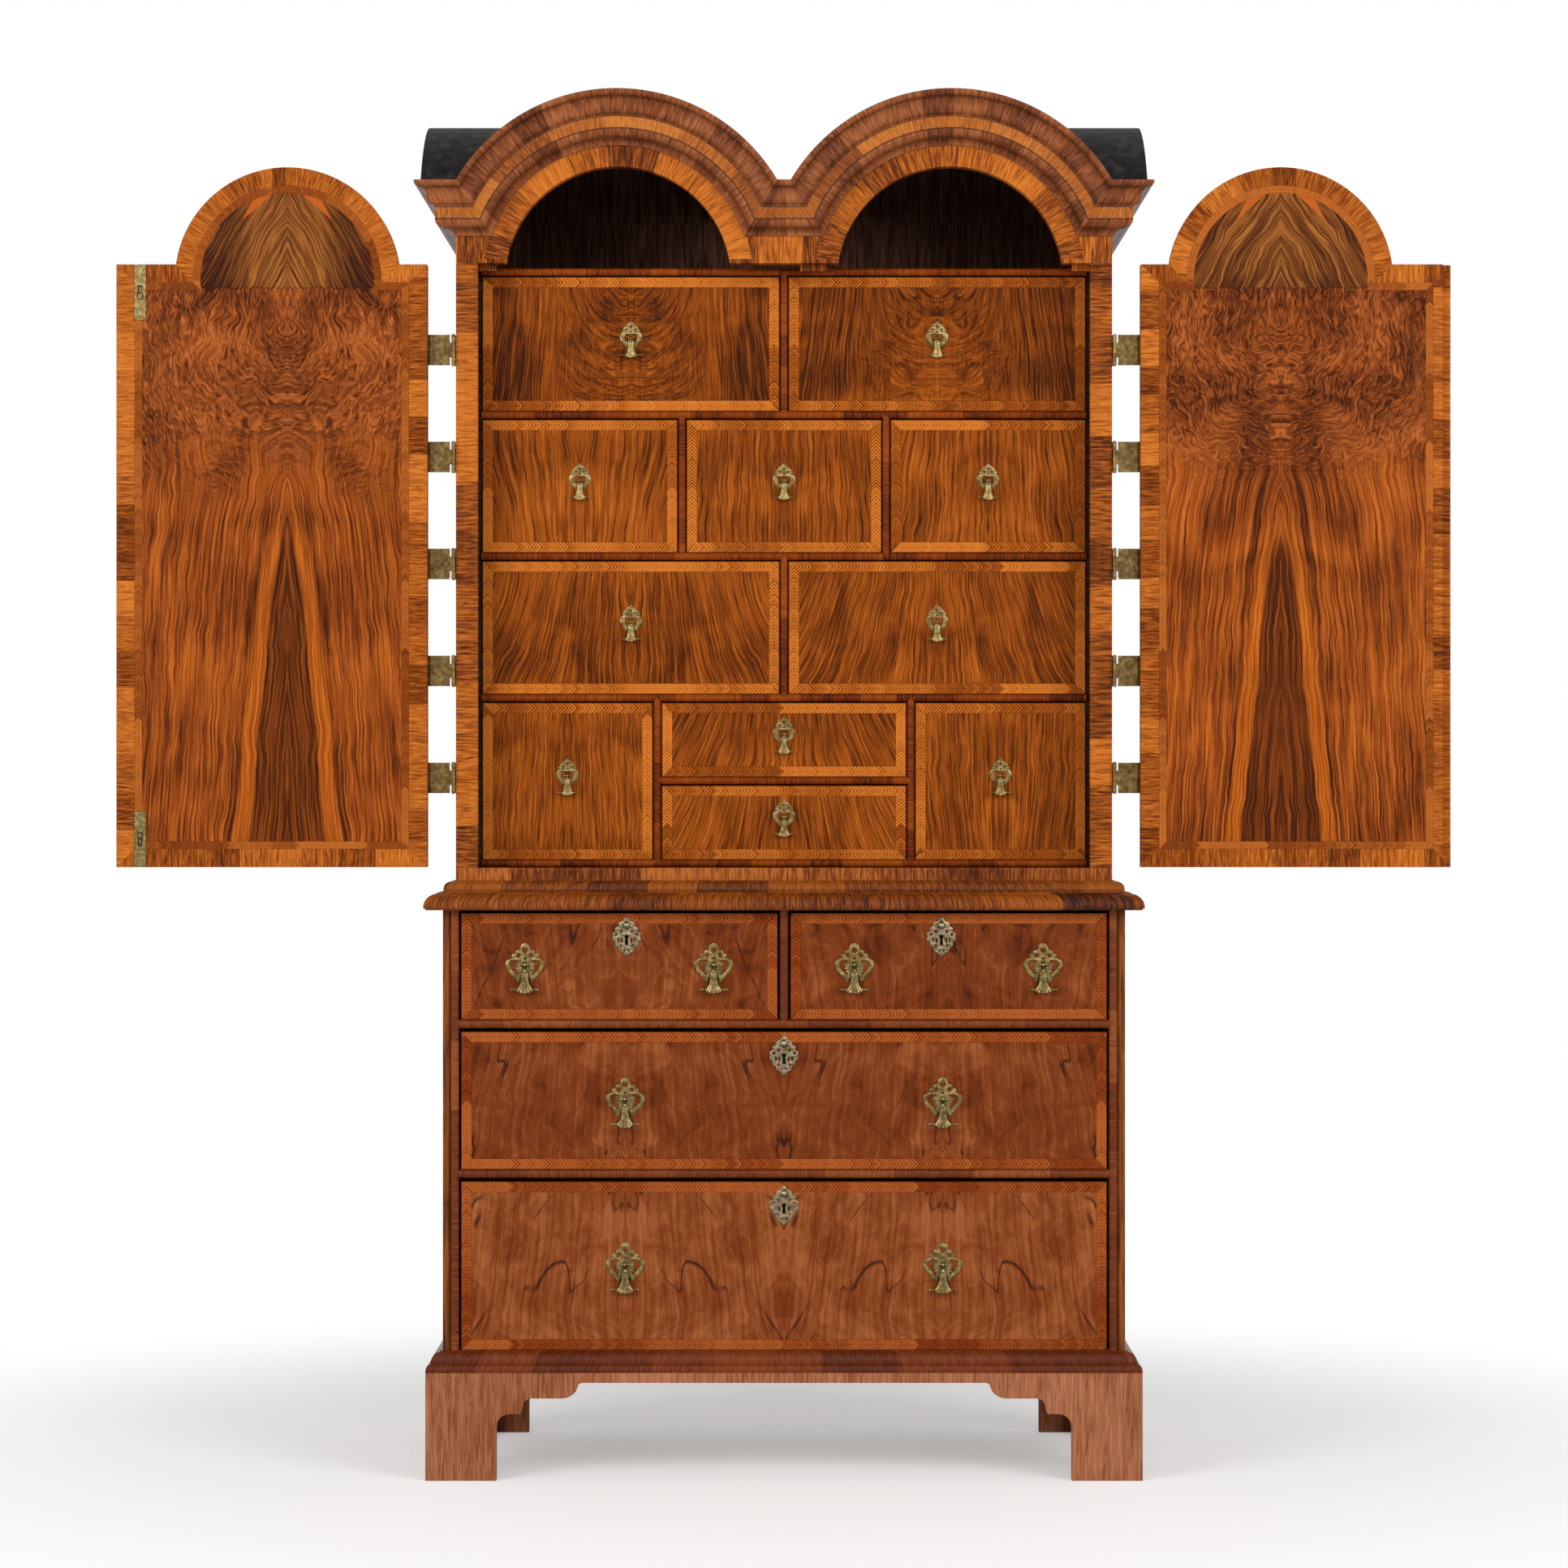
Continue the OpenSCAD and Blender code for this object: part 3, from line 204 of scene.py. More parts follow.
# Long-grained boards in Object coordinates. along is the axis that the grain follows, boards the axis and
# width of boards laid side by side.
def boardMaterial(name, tones, along, width, boards=None, roughness=0.5):
    def build(n):
        spot = n("TexCoord").outputs["Object"]
        place = n("SeparateXYZ", spot).outputs
        first, second = (place[k] for k in range(3) if k != along)
        seed = 2.0
        if boards:
            axis, boardWidth = boards
            counted = n("/", n("+", place[axis], 5), boardWidth * mm)
            seed = n("FLOOR", counted)
        grain = streaks(n, n("*+", second, 0.83, first), place[along], seed, width, 16, 0.9)
        broad = n("TexNoise", Vector=spot, Scale=7, Detail=2)
        value = n("+", n("*", grain, 0.75), n("*", broad, 0.25))
        colour = n("ValToRGB", value, stops=walnutTones[tones])
        if boards:
            colour = n("Mix", n("<", n("FRACT", counted), 1.2 / boardWidth), colour, "#120c08")
        return polished(n, colour, grain, roughness)
    return newMaterial(name, build)


# Black paint on pine boards: a thin, dry coat that lets the joints show, bare smoked wood inside the domes
def blackPaint(n):
    spot = n("TexCoord").outputs["Object"]
    x, y, z = n("SeparateXYZ", spot).outputs
    dust = n("TexNoise", Vector=spot, Scale=60, Detail=6)
    height = n("TexNoise", Vector=spot, Scale=260, Detail=4)
    colour = n("ValToRGB", dust, stops="0.35 #0d0d0d 0.52 #1f1d1c 0.68 #35312f")
    joint = n("<", n("FRACT", n("/", n("+", y, 5), 0.075)), 0.02)
    radius = aboutArch(n, x, z, case["archX"], case["zArch"])[2]
    within = n("*", n("<", radius, case["roofInside"] * mm), n("<", y, case["yRoofInside"] * mm))
    bare = n("ValToRGB", streaks(n, x, z, 3.0, 6, 16, 0.9), stops=walnutTones["smoked"])
    colour = n("Mix", within, n("Mix", joint, colour, "#050505"), bare)
    bump = n("Bump", Strength=0.5, Distance=0.0006, Height=height)
    return n("BsdfPrincipled", at={"Base Color": colour, "Roughness": 0.62, "Specular IOR Level": 0.1,
                                   "Normal": bump})


# Cabinet boards: plain outside, stained and smoked nearly black inside
def linedBoards(n):
    x, y, z = n("SeparateXYZ", n("TexCoord").outputs["Object"]).outputs
    grain = streaks(n, n("+", x, y), z, 3.0, 6, 16, 0.9)
    outside, behind, inside = (n("ValToRGB", grain, stops=walnutTones[key])
                               for key in ("carcase", "oak", "smoked"))
    colour = n("Mix", n(">", y, (case["yBack"] - 0.5) * mm), outside, behind)
    within = n("*", n("<", n("abs", x), (case["liningHalf"] + 0.5) * mm),
               n("<", y, (case["yInside"] + 0.5) * mm))
    return polished(n, n("Mix", within, colour, inside), grain, 0.55)


woods = {
    "stile": runMaterial("crossbandedWalnutFace", "stile", 74, 3.2, gloss=0.05),
    "rail": runMaterial("crossbandedWalnutRail", "rail", 90, 3.2, gloss=0.05),
    "waist": runMaterial("crossGrainedWalnutWaist", "waist", 92, 2.4, 0.4),
    "edge": runMaterial("polishedWalnutEdging", "edge", 46, 2, 0.34, 0.02, 0.06),
    "bead": runMaterial("polishedWalnutBead", "bead", 110, 2, 0.32, 0.06),
    "base": runMaterial("crossGrainedWalnutBase", "base", 84, 2.4, 0.36, 0.04),
    "side": boardMaterial("straightGrainedWalnut", "carcase", 2, 6),
    "feet": boardMaterial("straightGrainedWalnutFeet", "foot", 2, 4),
    "oak": boardMaterial("planedOak", "oak", 1, 4, roughness=0.6),
    "back": boardMaterial("sawnOakBack", "oak", 2, 5, (0, 160), 0.72),
    "dark": boardMaterial("shadedInnerWalnut", "dark", 0, 5, roughness=0.7),
    "roof": newMaterial("blackPaintedPine", blackPaint),
    "lined": newMaterial("smokedCabinetBoards", linedBoards),
}


# Cast brass, mottled: painted light from above (faces turned up paler), and darker hollows, old polish and
# painted shade
def castBrass(name, low, middle, high):
    def build(n):
        place = n("TexCoord").outputs["Object"]
        # faces turned up are painted lighter and faces turned down darker: painted light from above
        facing = n("SeparateXYZ", n("NewGeometry").outputs["Normal"]).outputs[2]
        stain = n("TexNoise", Vector=place, Scale=160, Detail=5, Roughness=0.6)
        fine = n("TexNoise", Vector=place, Scale=900, Detail=3)
        # ambient occlusion darkens the hollows and the edge where each plate meets the wood: painted shade,
        # with some old polish in the hollows
        hollow = n("AmbientOcclusion", Distance=0.004, samples=6)
        wornAndLitFromAbove = n("+", n("*", stain, 0.8), 0.16, n("*", facing, 0.22))
        value = n("*", wornAndLitFromAbove, n("POWER", hollow.outputs["AO"], 1.6))
        colour = n("ValToRGB", value, stops=f"0.1 #140e07 0.34 {low} 0.56 {middle} 0.82 {high}")
        bump = n("Bump", Strength=0.35, Distance=0.0002, Height=fine)
        return n("BsdfPrincipled", at={"Base Color": colour, "Metallic": 1.0, "Normal": bump,
                                       "Roughness": n("MapRange", stain, 0, 1, 0.22, 0.44)})
    return newMaterial(name, build)


metals = {
    "brass": castBrass("agedCastBrass", "#40331b", "#78663e", "#b6a474"),
    "escutcheon": castBrass("greyedCastBrass", "#4a3d28", "#80735a", "#b6a98c"),
    "hinge": castBrass("dullSheetBrass", "#3c2c16", "#6a5433", "#98814b"),
    "iron": castBrass("ironAndKeyholeShade", "#0c0b0a", "#151413", "#1f1d1b"),
}

featherWidth = 15.5


# Veneered panel with a feather band round its edge. "panel" holds the place from the panel's centre and a
# seed, "half" its half sizes and the distance of the fold that its figure is matched about, and "look" the
# share of burr, a shift of the tone and how far the grain fans out. bowls lays the burr in bowls.
def panelMaterial(name, bandTones, fieldTones, width, rimShadeTone, bowls):
    def build(n):
        (u, v, seed), (halfWidth, halfHeight, fold), (burr, shade, fan) = (
            n("SeparateXYZ", n("Attribute", attribute_name=key).outputs["Vector"]).outputs
            for key in ("panel", "half", "look"))
        toSide = n("-", halfWidth, n("abs", u))
        toEnd = n("-", halfHeight, n("abs", v))
        depth = n("min", toSide, toEnd)
        atSide = n("<", toSide, toEnd)
        run = n("Mix", atSide, u, v, data_type="FLOAT")
        share = n("/", depth, featherWidth * mm)
        band = featherBand(n, run, share, n("+", seed, atSide), bandTones)

        matched = n("abs", n("-", n("abs", u), fold))
        centred = n("CombineXYZ", matched, v, n("*", seed, 3.7))
        push = n("TexNoise", Vector=centred, Scale=9, Detail=2, Distortion=0.4)
        push = n("-", push, 0.5)
        fanned = n("*", matched, n("*+", fan, v, 1))
        across = n("*+", push, 0.024, fanned)
        plume = streaks(n, across, v, seed, width, 30, 0.3)
        lines = streaks(n, across, v, n("+", seed, 7), width * 0.4, 60, 0.25, 3)
        if bowls:
            below = n("*", n("-", v, halfHeight), 0.9)
            fromTop = n("VectorMath", n("CombineXYZ", matched, below, 0), operation="LENGTH").outputs["Value"]
            curl = streaks(n, n("*+", push, 0.07, fromTop), across, seed, width * 1.9, 5, 1.3)
            burrHere = n("*", burr, n("MapRange", matched, 0.07, 0.13, 1, 0))
        else:
            swirl = n("CombineXYZ", n("*+", push, 0.11, matched), n("*", v, 0.75), seed)
            curl = n("TexNoise", Vector=swirl, Scale=30, Detail=6, Roughness=0.6, Distortion=1.9)
            burrHere = burr
        field = n("Mix", burrHere, plume, curl, data_type="FLOAT")
        broad = n("TexNoise", Vector=centred, Scale=11, Detail=2, Distortion=0.8)
        clouds = n("*", n("-", broad, 0.5), 0.2 if bowls else 0.26)
        pores = streaks(n, u, v, seed, 0.9, 16, 0.2, 3)
        thin = n("MapRange", lines, 0.53, 0.64, 0, 0.07 if bowls else 0.02)
        outer = n("*", burr, n("MapRange", toSide, 0.02, 0.1, 0.045 if bowls else 0, 0))
        value = n("+", n("*", field, 0.62), clouds, 0.13, n("*", pores, 0.12), shade)
        colour = n("ValToRGB", n("-", value, thin, outer), stops=fieldTones)
        if not bowls:
            # dark shakes in the burr, matched like the rest of the figure
            slanted = n("CombineXYZ", n("*+", v, 0.35, matched), n("*", v, 0.3), seed)
            wander = n("TexNoise", Vector=slanted, Scale=9, Detail=3, Distortion=0.6)
            shake = n("MapRange", n("abs", n("-", wander, 0.47)), 0.002, 0.009, 1, 0)
            here = n("TexNoise", Vector=centred, Scale=14, Detail=1)
            here = n("MapRange", here, 0.46, 0.56, 0, 0.8)
            colour = n("Mix", n("*", shake, here), colour, "#26110a")
        inBand = n("<", share, 1)
        colour = n("Mix", inBand, colour, band)
        line = n("<", n("abs", n("-", share, 1)), 0.025)
        mitre = n("*", inBand, n("<", n("abs", n("-", toSide, toEnd)), 0.0003))
        colour = n("Mix", n("*", n("max", line, mitre), 0.5), colour, "#2a1108")
        # the front's outermost 0.9 mm painted darker: painted shade of the gap round the drawer
        colour = n("Mix", n("*", n("<", depth, 0.0009), 0.7), colour, rimShadeTone)
        return polished(n, colour, pores)
    return newMaterial(name, build)


# Door veneer in Object coordinates: crossbanding and a feather line follow the arched outline. Below the
# plumes' top the grain opens in a tall arrowhead with a dark core and two light streaks, above it burr
# hangs in bowls, and a darker quartered head with two pale slips lies above the joint at the shoulders.
door = {"centre": 754, "halfWidth": 228.75, "foot": 901.5, "shoulder": 1789, "archCentre": 731.3,
        "zArch": 1766.5, "radius": 165.5, "archBand": 150, "cross": 27, "feather": 11, "plumeTop": 1480,
        "plumeReach": 72, "streakHalf": 10.5, "bowlTop": 1700}


def doorVeneer(n):
    x, y, z = n("SeparateXYZ", n("TexCoord").outputs["Object"]).outputs
    u = n("-", n("abs", x), door["centre"] * mm)
    fromArch, aboveArch, radius = aboutArch(n, x, z, door["archCentre"], door["zArch"])
    right = n(">", x, 0)
    toSide = n("-", door["halfWidth"] * mm, n("abs", u))
    toEnd = n("min", n("-", z, door["foot"] * mm), n("-", door["shoulder"] * mm, z))
    inRect = n("min", toSide, toEnd)
    inArch = n("-", door["radius"] * mm, radius)
    depth = n("max", inRect, inArch)
    atSide = n("<", toSide, toEnd)
    run = n("Mix", n(">", inArch, inRect), n("Mix", atSide, x, z, data_type="FLOAT"),
            n("*", n("ARCTAN2", aboveArch, fromArch), door["archBand"] * mm), data_type="FLOAT")
    seed = n("+", n("*", right, 4.4), n("+", atSide, n("*", n(">", u, 0), 2)))
    cross, grain = crossBand(n, run, depth, seed, walnutTones["cross"], 52, 2.4)
    share = n("/", n("-", depth, door["cross"] * mm), door["feather"] * mm)
    featherTones = "0.36 #5e2808 0.48 #8a420f 0.58 #a55317 0.7 #c06a28"
    feather = featherBand(n, run, share, seed, featherTones, 3.4, 1.7, 30)

    shift = n("*", right, 1.7)
    matched = n("abs", fromArch)
    centred = n("CombineXYZ", matched, z, shift)
    push = n("TexNoise", Vector=centred, Scale=8, Detail=3, Distortion=0.4)
    push = n("-", push, 0.5)
    broad = n("TexNoise", Vector=centred, Scale=7, Detail=2, Distortion=0.9)
    pores = streaks(n, x, z, 1.0, 0.9, 16, 0.2, 3)

    # plumes
    drop = n("max", n("-", door["plumeTop"] * mm, z), 0)
    rise = n("POWER", n("/", drop, (door["plumeTop"] - door["foot"]) * mm), 0.68)
    rise = n("*", rise, door["plumeReach"] * mm)
    leaning = n("*", rise, n("-", 1, n("*", matched, 2.7)))
    across = n("*+", push, 0.03, n("-", matched, leaning))
    plume = streaks(n, across, z, shift, 3.6, 40, 0.3)
    lines = streaks(n, across, z, n("+", shift, 6), 1.5, 90, 0.2, 3)
    fromStreak = n("*+", push, 0.014, n("-", matched, rise))
    half = door["streakHalf"] * mm
    pale = n("*", n("MapRange", n("abs", fromStreak), half - 0.004, half + 0.002, 0.85, 0, **smooth),
             n("MapRange", drop, 0.03, 0.26, **smooth))
    core = n("*", n("MapRange", fromStreak, -half - 0.002, -half + 0.001, 1, 0, **smooth),
             n("MapRange", drop, 0.065, 0.11, **smooth))
    dark = n("*", n("MapRange", fromStreak, half, half + 0.002, **smooth),
             n("MapRange", fromStreak, half + 0.01, half + 0.018, 1, 0, **smooth),
             n("MapRange", drop, 0, 0.08, 0, 0.055, **smooth))
    thin = n("MapRange", lines, 0.54, 0.64, 0, 0.06)
    value = n("+", n("*", plume, 0.68), n("*", broad, 0.2), n("*", pores, 0.12))
    lower = n("ValToRGB", n("-", value, thin, dark),
              stops="0.38 #3f1a05 0.46 #7c380d 0.53 #a04e17 0.61 #c2661f")
    streak = n("-", plume, thin)
    paleWood = n("ValToRGB", streak, stops="0.36 #8a400c 0.5 #ae5612 0.62 #c86c1d")
    coreWood = n("ValToRGB", streak, stops="0.38 #371504 0.5 #622b08 0.62 #8f4513")
    lower = n("Mix", core, n("Mix", pale, lower, paleWood), coreWood)

    # burr in bowls
    below = n("*", n("min", n("-", z, door["bowlTop"] * mm), 0), 0.8)
    bowl = n("VectorMath", n("CombineXYZ", matched, 0, below), operation="LENGTH").outputs["Value"]
    curl = streaks(n, n("*+", push, 0.09, bowl), n("+", z, matched), n("+", shift, 2), 5.5, 5, 1.6)
    value = n("+", n("*", curl, 0.66), n("*", broad, 0.24), n("*", pores, 0.1))
    upper = n("ValToRGB", value, stops="0.4 #371504 0.47 #6b310f 0.53 #8b4518 0.61 #b5602a")
    toUpper = n("MapRange", n("*+", push, 0.2, z), 1.45, 1.54, **smooth)
    field = n("Mix", toUpper, lower, upper)

    # head
    joint = (door["shoulder"] - door["cross"] - door["feather"] + 3) * mm
    slope = n("+", matched, n("*", z, 0.55), n("*", push, 0.05))
    headGrain = streaks(n, slope, z, shift, 3.4, 24, 0.5)
    value = n("-", n("+", n("*", headGrain, 0.75), n("*", broad, 0.25)),
              n("MapRange", matched, 0.03, 0.13, -0.02, 0.05, **smooth))
    head = n("ValToRGB", value, stops="0.38 #2e1206 0.46 #572b10 0.53 #7b4418 0.61 #a5652b")
    crown = n("-", z, (door["zArch"] + door["radius"] - door["cross"] - door["feather"]) * mm)
    overSlip = n(">", n("*+", n("-", matched, 0.0206), 0.88, crown), 0)
    slipEnd = n("<", n("*+", n("-", matched, 0.047), 1.94, crown), -0.004)
    head = n("Mix", n("*", overSlip, slipEnd), head, "#b95a1b")
    field = n("Mix", n(">", z, joint), field, head)
    seam = n("<", n("abs", n("-", z, joint)), 0.0006)
    field = n("Mix", n("*", seam, 0.7), field, "#241008")

    colour = n("Mix", n("<", share, 1), field, feather)
    colour = n("Mix", n("<", share, 0), colour, cross)
    line = n("max", n("<", n("abs", share), 0.03),
             n("<", n("abs", n("-", share, 1)), 0.03))
    return polished(n, n("Mix", n("*", line, 0.5), colour, "#2a1108"), pores)


# Head of the face: the grain runs across each arched band, and up the corners beside it
def headVeneer(n):
    x, y, z = n("SeparateXYZ", n("TexCoord").outputs["Object"]).outputs
    fromArch, aboveArch, radius = aboutArch(n, x, z, case["archX"], case["zArch"])
    turned = n("*", n("ARCTAN2", aboveArch, fromArch), case["archBand"] * mm)
    inBand = n("*", n(">", aboveArch, 0.03), n("<", radius, case["archBandOuter"] * mm))
    run = n("Mix", inBand, x, turned, data_type="FLOAT")
    depth = n("Mix", inBand, z, radius, data_type="FLOAT")
    seed = n("+", n("*", n(">", x, 0), 3), n("*", inBand, 5))
    colour, grain = crossBand(n, run, depth, seed, walnutTones["stile"], 72, 3.0)
    return polished(n, colour, grain)


veneers = {
    "small": panelMaterial("featherBandedWalnut",
                           "0.36 #5c2a08 0.48 #95470c 0.58 #bb5f14 0.7 #d57a2c",
                           "0.37 #3a1704 0.45 #713407 0.53 #984b10 0.64 #c26720",
                           2.9, "#3a1a0a", True),
    "chest": panelMaterial("featherBandedRedWalnut",
                           "0.36 #5f1f08 0.48 #83350d 0.58 #994715 0.7 #b4602a",
                           "0.35 #36160a 0.45 #6b2f10 0.53 #803e1a 0.7 #b0683a",
                           6.5, "#34150a", False),
    "door": newMaterial("archedDoorVeneer", doorVeneer),
    "head": newMaterial("crossbandedWalnutHead", headVeneer),
}
print("materials made")


# Meshes. Builders work in millimetres.
def linked(name, data):
    thing = bpy.data.objects.new(name, data)
    bpy.context.scene.collection.objects.link(thing)
    return thing


# Boxes from their lowest and highest x, y and z
def boxes(*places):
    bm = bmesh.new()
    for x0, x1, y0, y1, z0, z1 in places:
        corners = [bm.verts.new((x, y, z)) for x in (x0, x1) for y in (y0, y1) for z in (z0, z1)]
        for quad in ((0, 1, 3, 2), (4, 6, 7, 5), (0, 4, 5, 1), (2, 3, 7, 6), (0, 2, 6, 4), (1, 5, 7, 3)):
            bm.faces.new([corners[k] for k in quad])
    return bm


def bothSides(x0, x1, *rest):
    return (-x1, -x0, *rest), (x0, x1, *rest)


# soft is the radius of its rounded edges, stored its attributes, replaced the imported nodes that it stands
# for, and facing says that the faces already look outward
def makePiece(name, bm, material, body, slotName, replaced=(), soft=0, segments=2, angle=35, weighted=True,
              stored=None, facing=False):
    if soft:
        edges = [e for e in bm.edges if len(e.link_faces) == 2 and e.calc_face_angle(0) > math.radians(30)]
        bmesh.ops.bevel(bm, geom=edges, offset=soft, segments=segments, profile=0.5, affect="EDGES",
                        clamp_overlap=True)
    if not facing:
        bmesh.ops.recalc_face_normals(bm, faces=bm.faces)
    for vertex in bm.verts:
        vertex.co *= mm
    mesh = bpy.data.meshes.new(name)
    bm.to_mesh(mesh)
    bm.free()
    for key, rule in (stored or {}).items():
        layer = mesh.attributes.new(key, "FLOAT_VECTOR", "POINT")
        layer.data.foreach_set("vector", [c for vertex in mesh.vertices for c in rule(vertex.co)])
    return dress(name, mesh, material, body, replaced, angle, weighted)


def dress(name, mesh, material, body, replaced=(), angle=35, weighted=True):
    mesh.shade_smooth()
    mesh.set_sharp_from_angle(angle=math.radians(angle))
    mesh.materials.clear()
    mesh.materials.append(material)
    piece = linked(name, mesh)
    if weighted:
        modifier = piece.modifiers.new("faceNormals", "WEIGHTED_NORMAL")
        modifier.keep_sharp, modifier.weight = True, 100
    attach(piece, body)
    if replaced:
        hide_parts(*replaced)
    return piece


# A node's mesh with its loose triangles joined into faces, in millimetres
def mergedCopy(node):
    bm = bmesh.new()
    bm.from_mesh(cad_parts[node].data)
    for vertex in bm.verts:
        vertex.co /= mm
    bmesh.ops.remove_doubles(bm, verts=bm.verts, dist=0.004)
    bmesh.ops.dissolve_limit(bm, angle_limit=math.radians(0.4), verts=bm.verts, edges=bm.edges)
    return bm


# Plain mesh of an object as it is shown, the object itself removed
def settled(carrier):
    mesh = bpy.data.meshes.new_from_object(carrier.evaluated_get(bpy.context.evaluated_depsgraph_get()))
    bpy.data.objects.remove(carrier)
    return mesh


# Sweep of a section along a run whose ends and corners are mitred. Each place on the run has its own
# directions for the section's two axes, so a mitre is just a slanting direction.
def mitredRunTree():
    tree = bpy.data.node_groups.new("mitredRun", "GeometryNodeTree")
    for label, kind in (("Run", "Object"), ("Section", "Object"), ("Seed", "Float"), ("Wood", "Material")):
        tree.interface.new_socket(label, in_out="INPUT", socket_type="NodeSocket" + kind)
    tree.interface.new_socket("Geometry", in_out="OUTPUT", socket_type="NodeSocketGeometry")
    n = partial(addNode, tree)
    given = n("NodeGroupInput")
    runPlaces, sectionPlaces = (n("GeometryNodeObjectInfo", Object=given.outputs[key]).outputs["Geometry"]
                                for key in ("Run", "Section"))
    runCount, sectionCount = (n("GeometryNodeAttributeDomainSize", places).outputs["Point Count"]
                              for places in (runPlaces, sectionPlaces))
    spine = n("GeometryNodeResampleCurve", Curve=n("GeometryNodeCurvePrimitiveLine"), Count=runCount)
    ring = n("GeometryNodeCurvePrimitiveCircle", Resolution=sectionCount)
    tube = n("GeometryNodeCurveToMesh", at={"Curve": spine, "Profile Curve": ring, "Fill Caps": True})
    index = n("GeometryNodeInputIndex")
    runIndex = n("FLOOR", n("+", n("/", index, sectionCount), 0.0005))
    sectionIndex = n("-", index, n("*", runIndex, sectionCount))
    found = {}
    for label in ("out", "up", "at", "length", "shape"):
        source, place = (sectionPlaces, sectionIndex) if label == "shape" else (runPlaces, runIndex)
        field = n("GeometryNodeInputNamedAttribute", label, data_type="FLOAT_VECTOR")
        found[label] = n("GeometryNodeSampleIndex", Geometry=source, Value=field, Index=place,
                         data_type="FLOAT_VECTOR")
    shape = n("SeparateXYZ", found["shape"])
    outward = n("VectorMath", found["out"], Scale=shape.outputs[0], operation="SCALE")
    upward = n("VectorMath", found["up"], Scale=shape.outputs[1], operation="SCALE")
    place = n("VectorMath", found["at"], n("VectorMath", outward, upward, operation="ADD"), operation="ADD")
    grain = n("CombineXYZ", n("SeparateXYZ", found["length"]), shape.outputs[2], given.outputs["Seed"])
    stored = n("GeometryNodeStoreNamedAttribute", Geometry=tube, Name="grain", Value=grain,
               data_type="FLOAT_VECTOR")
    placed = n("GeometryNodeSetPosition", Geometry=stored, Position=place)
    whole = n("GeometryNodeRealizeInstances", placed)
    n("NodeGroupOutput", n("GeometryNodeSetMaterial", Geometry=whole, Material=given.outputs["Wood"]))
    return tree


def pointsObject(name, places, layers):
    mesh = bpy.data.meshes.new(name)
    mesh.from_pydata(places, [(k, k + 1) for k in range(len(places) - 1)], [])
    for key, values in layers.items():
        layer = mesh.attributes.new(key, "FLOAT_VECTOR", "POINT")
        layer.data.foreach_set("vector", [c for value in values for c in value])
    return linked(name, mesh)


runTree = mitredRunTree()


# run: (place, out, up) in millimetres for each point. section: (out, up) points, closed.
def sweep(run, section, seed, wood):
    places = [Vector(p) * mm for p, _, _ in run]
    lengths, total = [], 0
    for k, place in enumerate(places):
        total += (place - places[k - 1]).length if k else 0
        lengths.append((total, 0, 0))
    runObject = pointsObject("run", places, {"at": places, "out": [o for _, o, _ in run],
                                             "up": [u for _, _, u in run], "length": lengths})
    shape, reach = [], 0
    for k, (a, b) in enumerate(section):
        reach += math.hypot(a - section[k - 1][0], b - section[k - 1][1]) if k else 0
        shape.append((a * mm, b * mm, reach * mm))
    sectionObject = pointsObject("section", [(0, 0, k * mm) for k in range(len(shape))], {"shape": shape})
    carrier = linked("swept", bpy.data.meshes.new("swept"))
    modifier = carrier.modifiers.new("shape", "NODES")
    modifier.node_group = runTree
    values = {"Run": runObject, "Section": sectionObject, "Seed": float(seed), "Wood": wood}
    for item in runTree.interface.items_tree:
        if item.in_out == "INPUT":
            modifier[item.identifier] = values[item.name]
    mesh = settled(carrier)
    bpy.data.objects.remove(runObject)
    bpy.data.objects.remove(sectionObject)
    return mesh


def joined(name, meshes, wood, replaced=()):
    bm = bmesh.new()
    for mesh in meshes:
        bm.from_mesh(mesh)
    bmesh.ops.recalc_face_normals(bm, faces=bm.faces)
    mesh = bpy.data.meshes.new(name)
    bm.to_mesh(mesh)
    bm.free()
    return dress(name, mesh, wood, "case", replaced, 32, False)


def arcPoints(cx, cy, rx, ry, start, end, count=8):
    turns = [math.radians(start + (end - start) * k / count) for k in range(count + 1)]
    return [(cx + rx * math.cos(t), cy + ry * math.sin(t)) for t in turns]


# Half-round edging on a board's front edge, its crown standing out by the nose and its flat back in the
# board. side is the way that its width goes.
def edging(start, end, side, width, seed, wood, nose=4, back=6):
    radius = width / 2
    curve = arcPoints(nose - radius, radius, radius, radius, -90, 90, 14)
    inner = -back - radius + nose
    run = [(start, (0, -1, 0), side), (end, (0, -1, 0), side)]
    return sweep(run, [(inner, 0), *curve, (inner, width)], seed, wood)


# Cornice, waist, cabinet foot and base: how far each stands out, and its height
mouldings = {"cornice": (58, 76), "waist": (27, 25.5), "foot": (19, 17.5), "base": (24, 30.5)}


def corniceSection(p, h):
    return [(0, 0), *arcPoints(15, 0, 12, 9, 180, 90), (17, 9), *arcPoints(17, 22, p - 46, 12, -90, 0, 10),
            (p - 29, h - 36), (p - 28, h - 36), *arcPoints(p - 28, h - 24, 10, 10, -90, 0),
            *arcPoints(p - 7, h - 23, 11, 13, 180, 100), (p - 7, h - 10),
            *arcPoints(p - 7, h - 2, 7, 7, -90, 0), (p, h - 1), (p - 1, h), (0, h)]


def waistSection(p, h):
    return [(0, 0), (p - 3, 0), (p - 3, 2), *arcPoints(p - 22, 5, 22, h - 6, -8, 82, 14), (p - 19, h), (0, h)]


def footSection(p, h):
    return [(0, 0), (p, 0), (p, 1), (p - 2.5, 2.5), (p - 2.5, 4), (p - 1, 4),
            *arcPoints(3, 6.5, p - 5, h - 7.5, 0, 90, 12), (3, h), (0, h)]


def baseSection(p, h):
    return [(0, 0), (p, 0), *arcPoints(p - 6, 2.5, 6, 9, 0, 80),
            *arcPoints(4, 12.5, p - 11, h - 14, 0, 90, 12), (4, h), (0, h)]


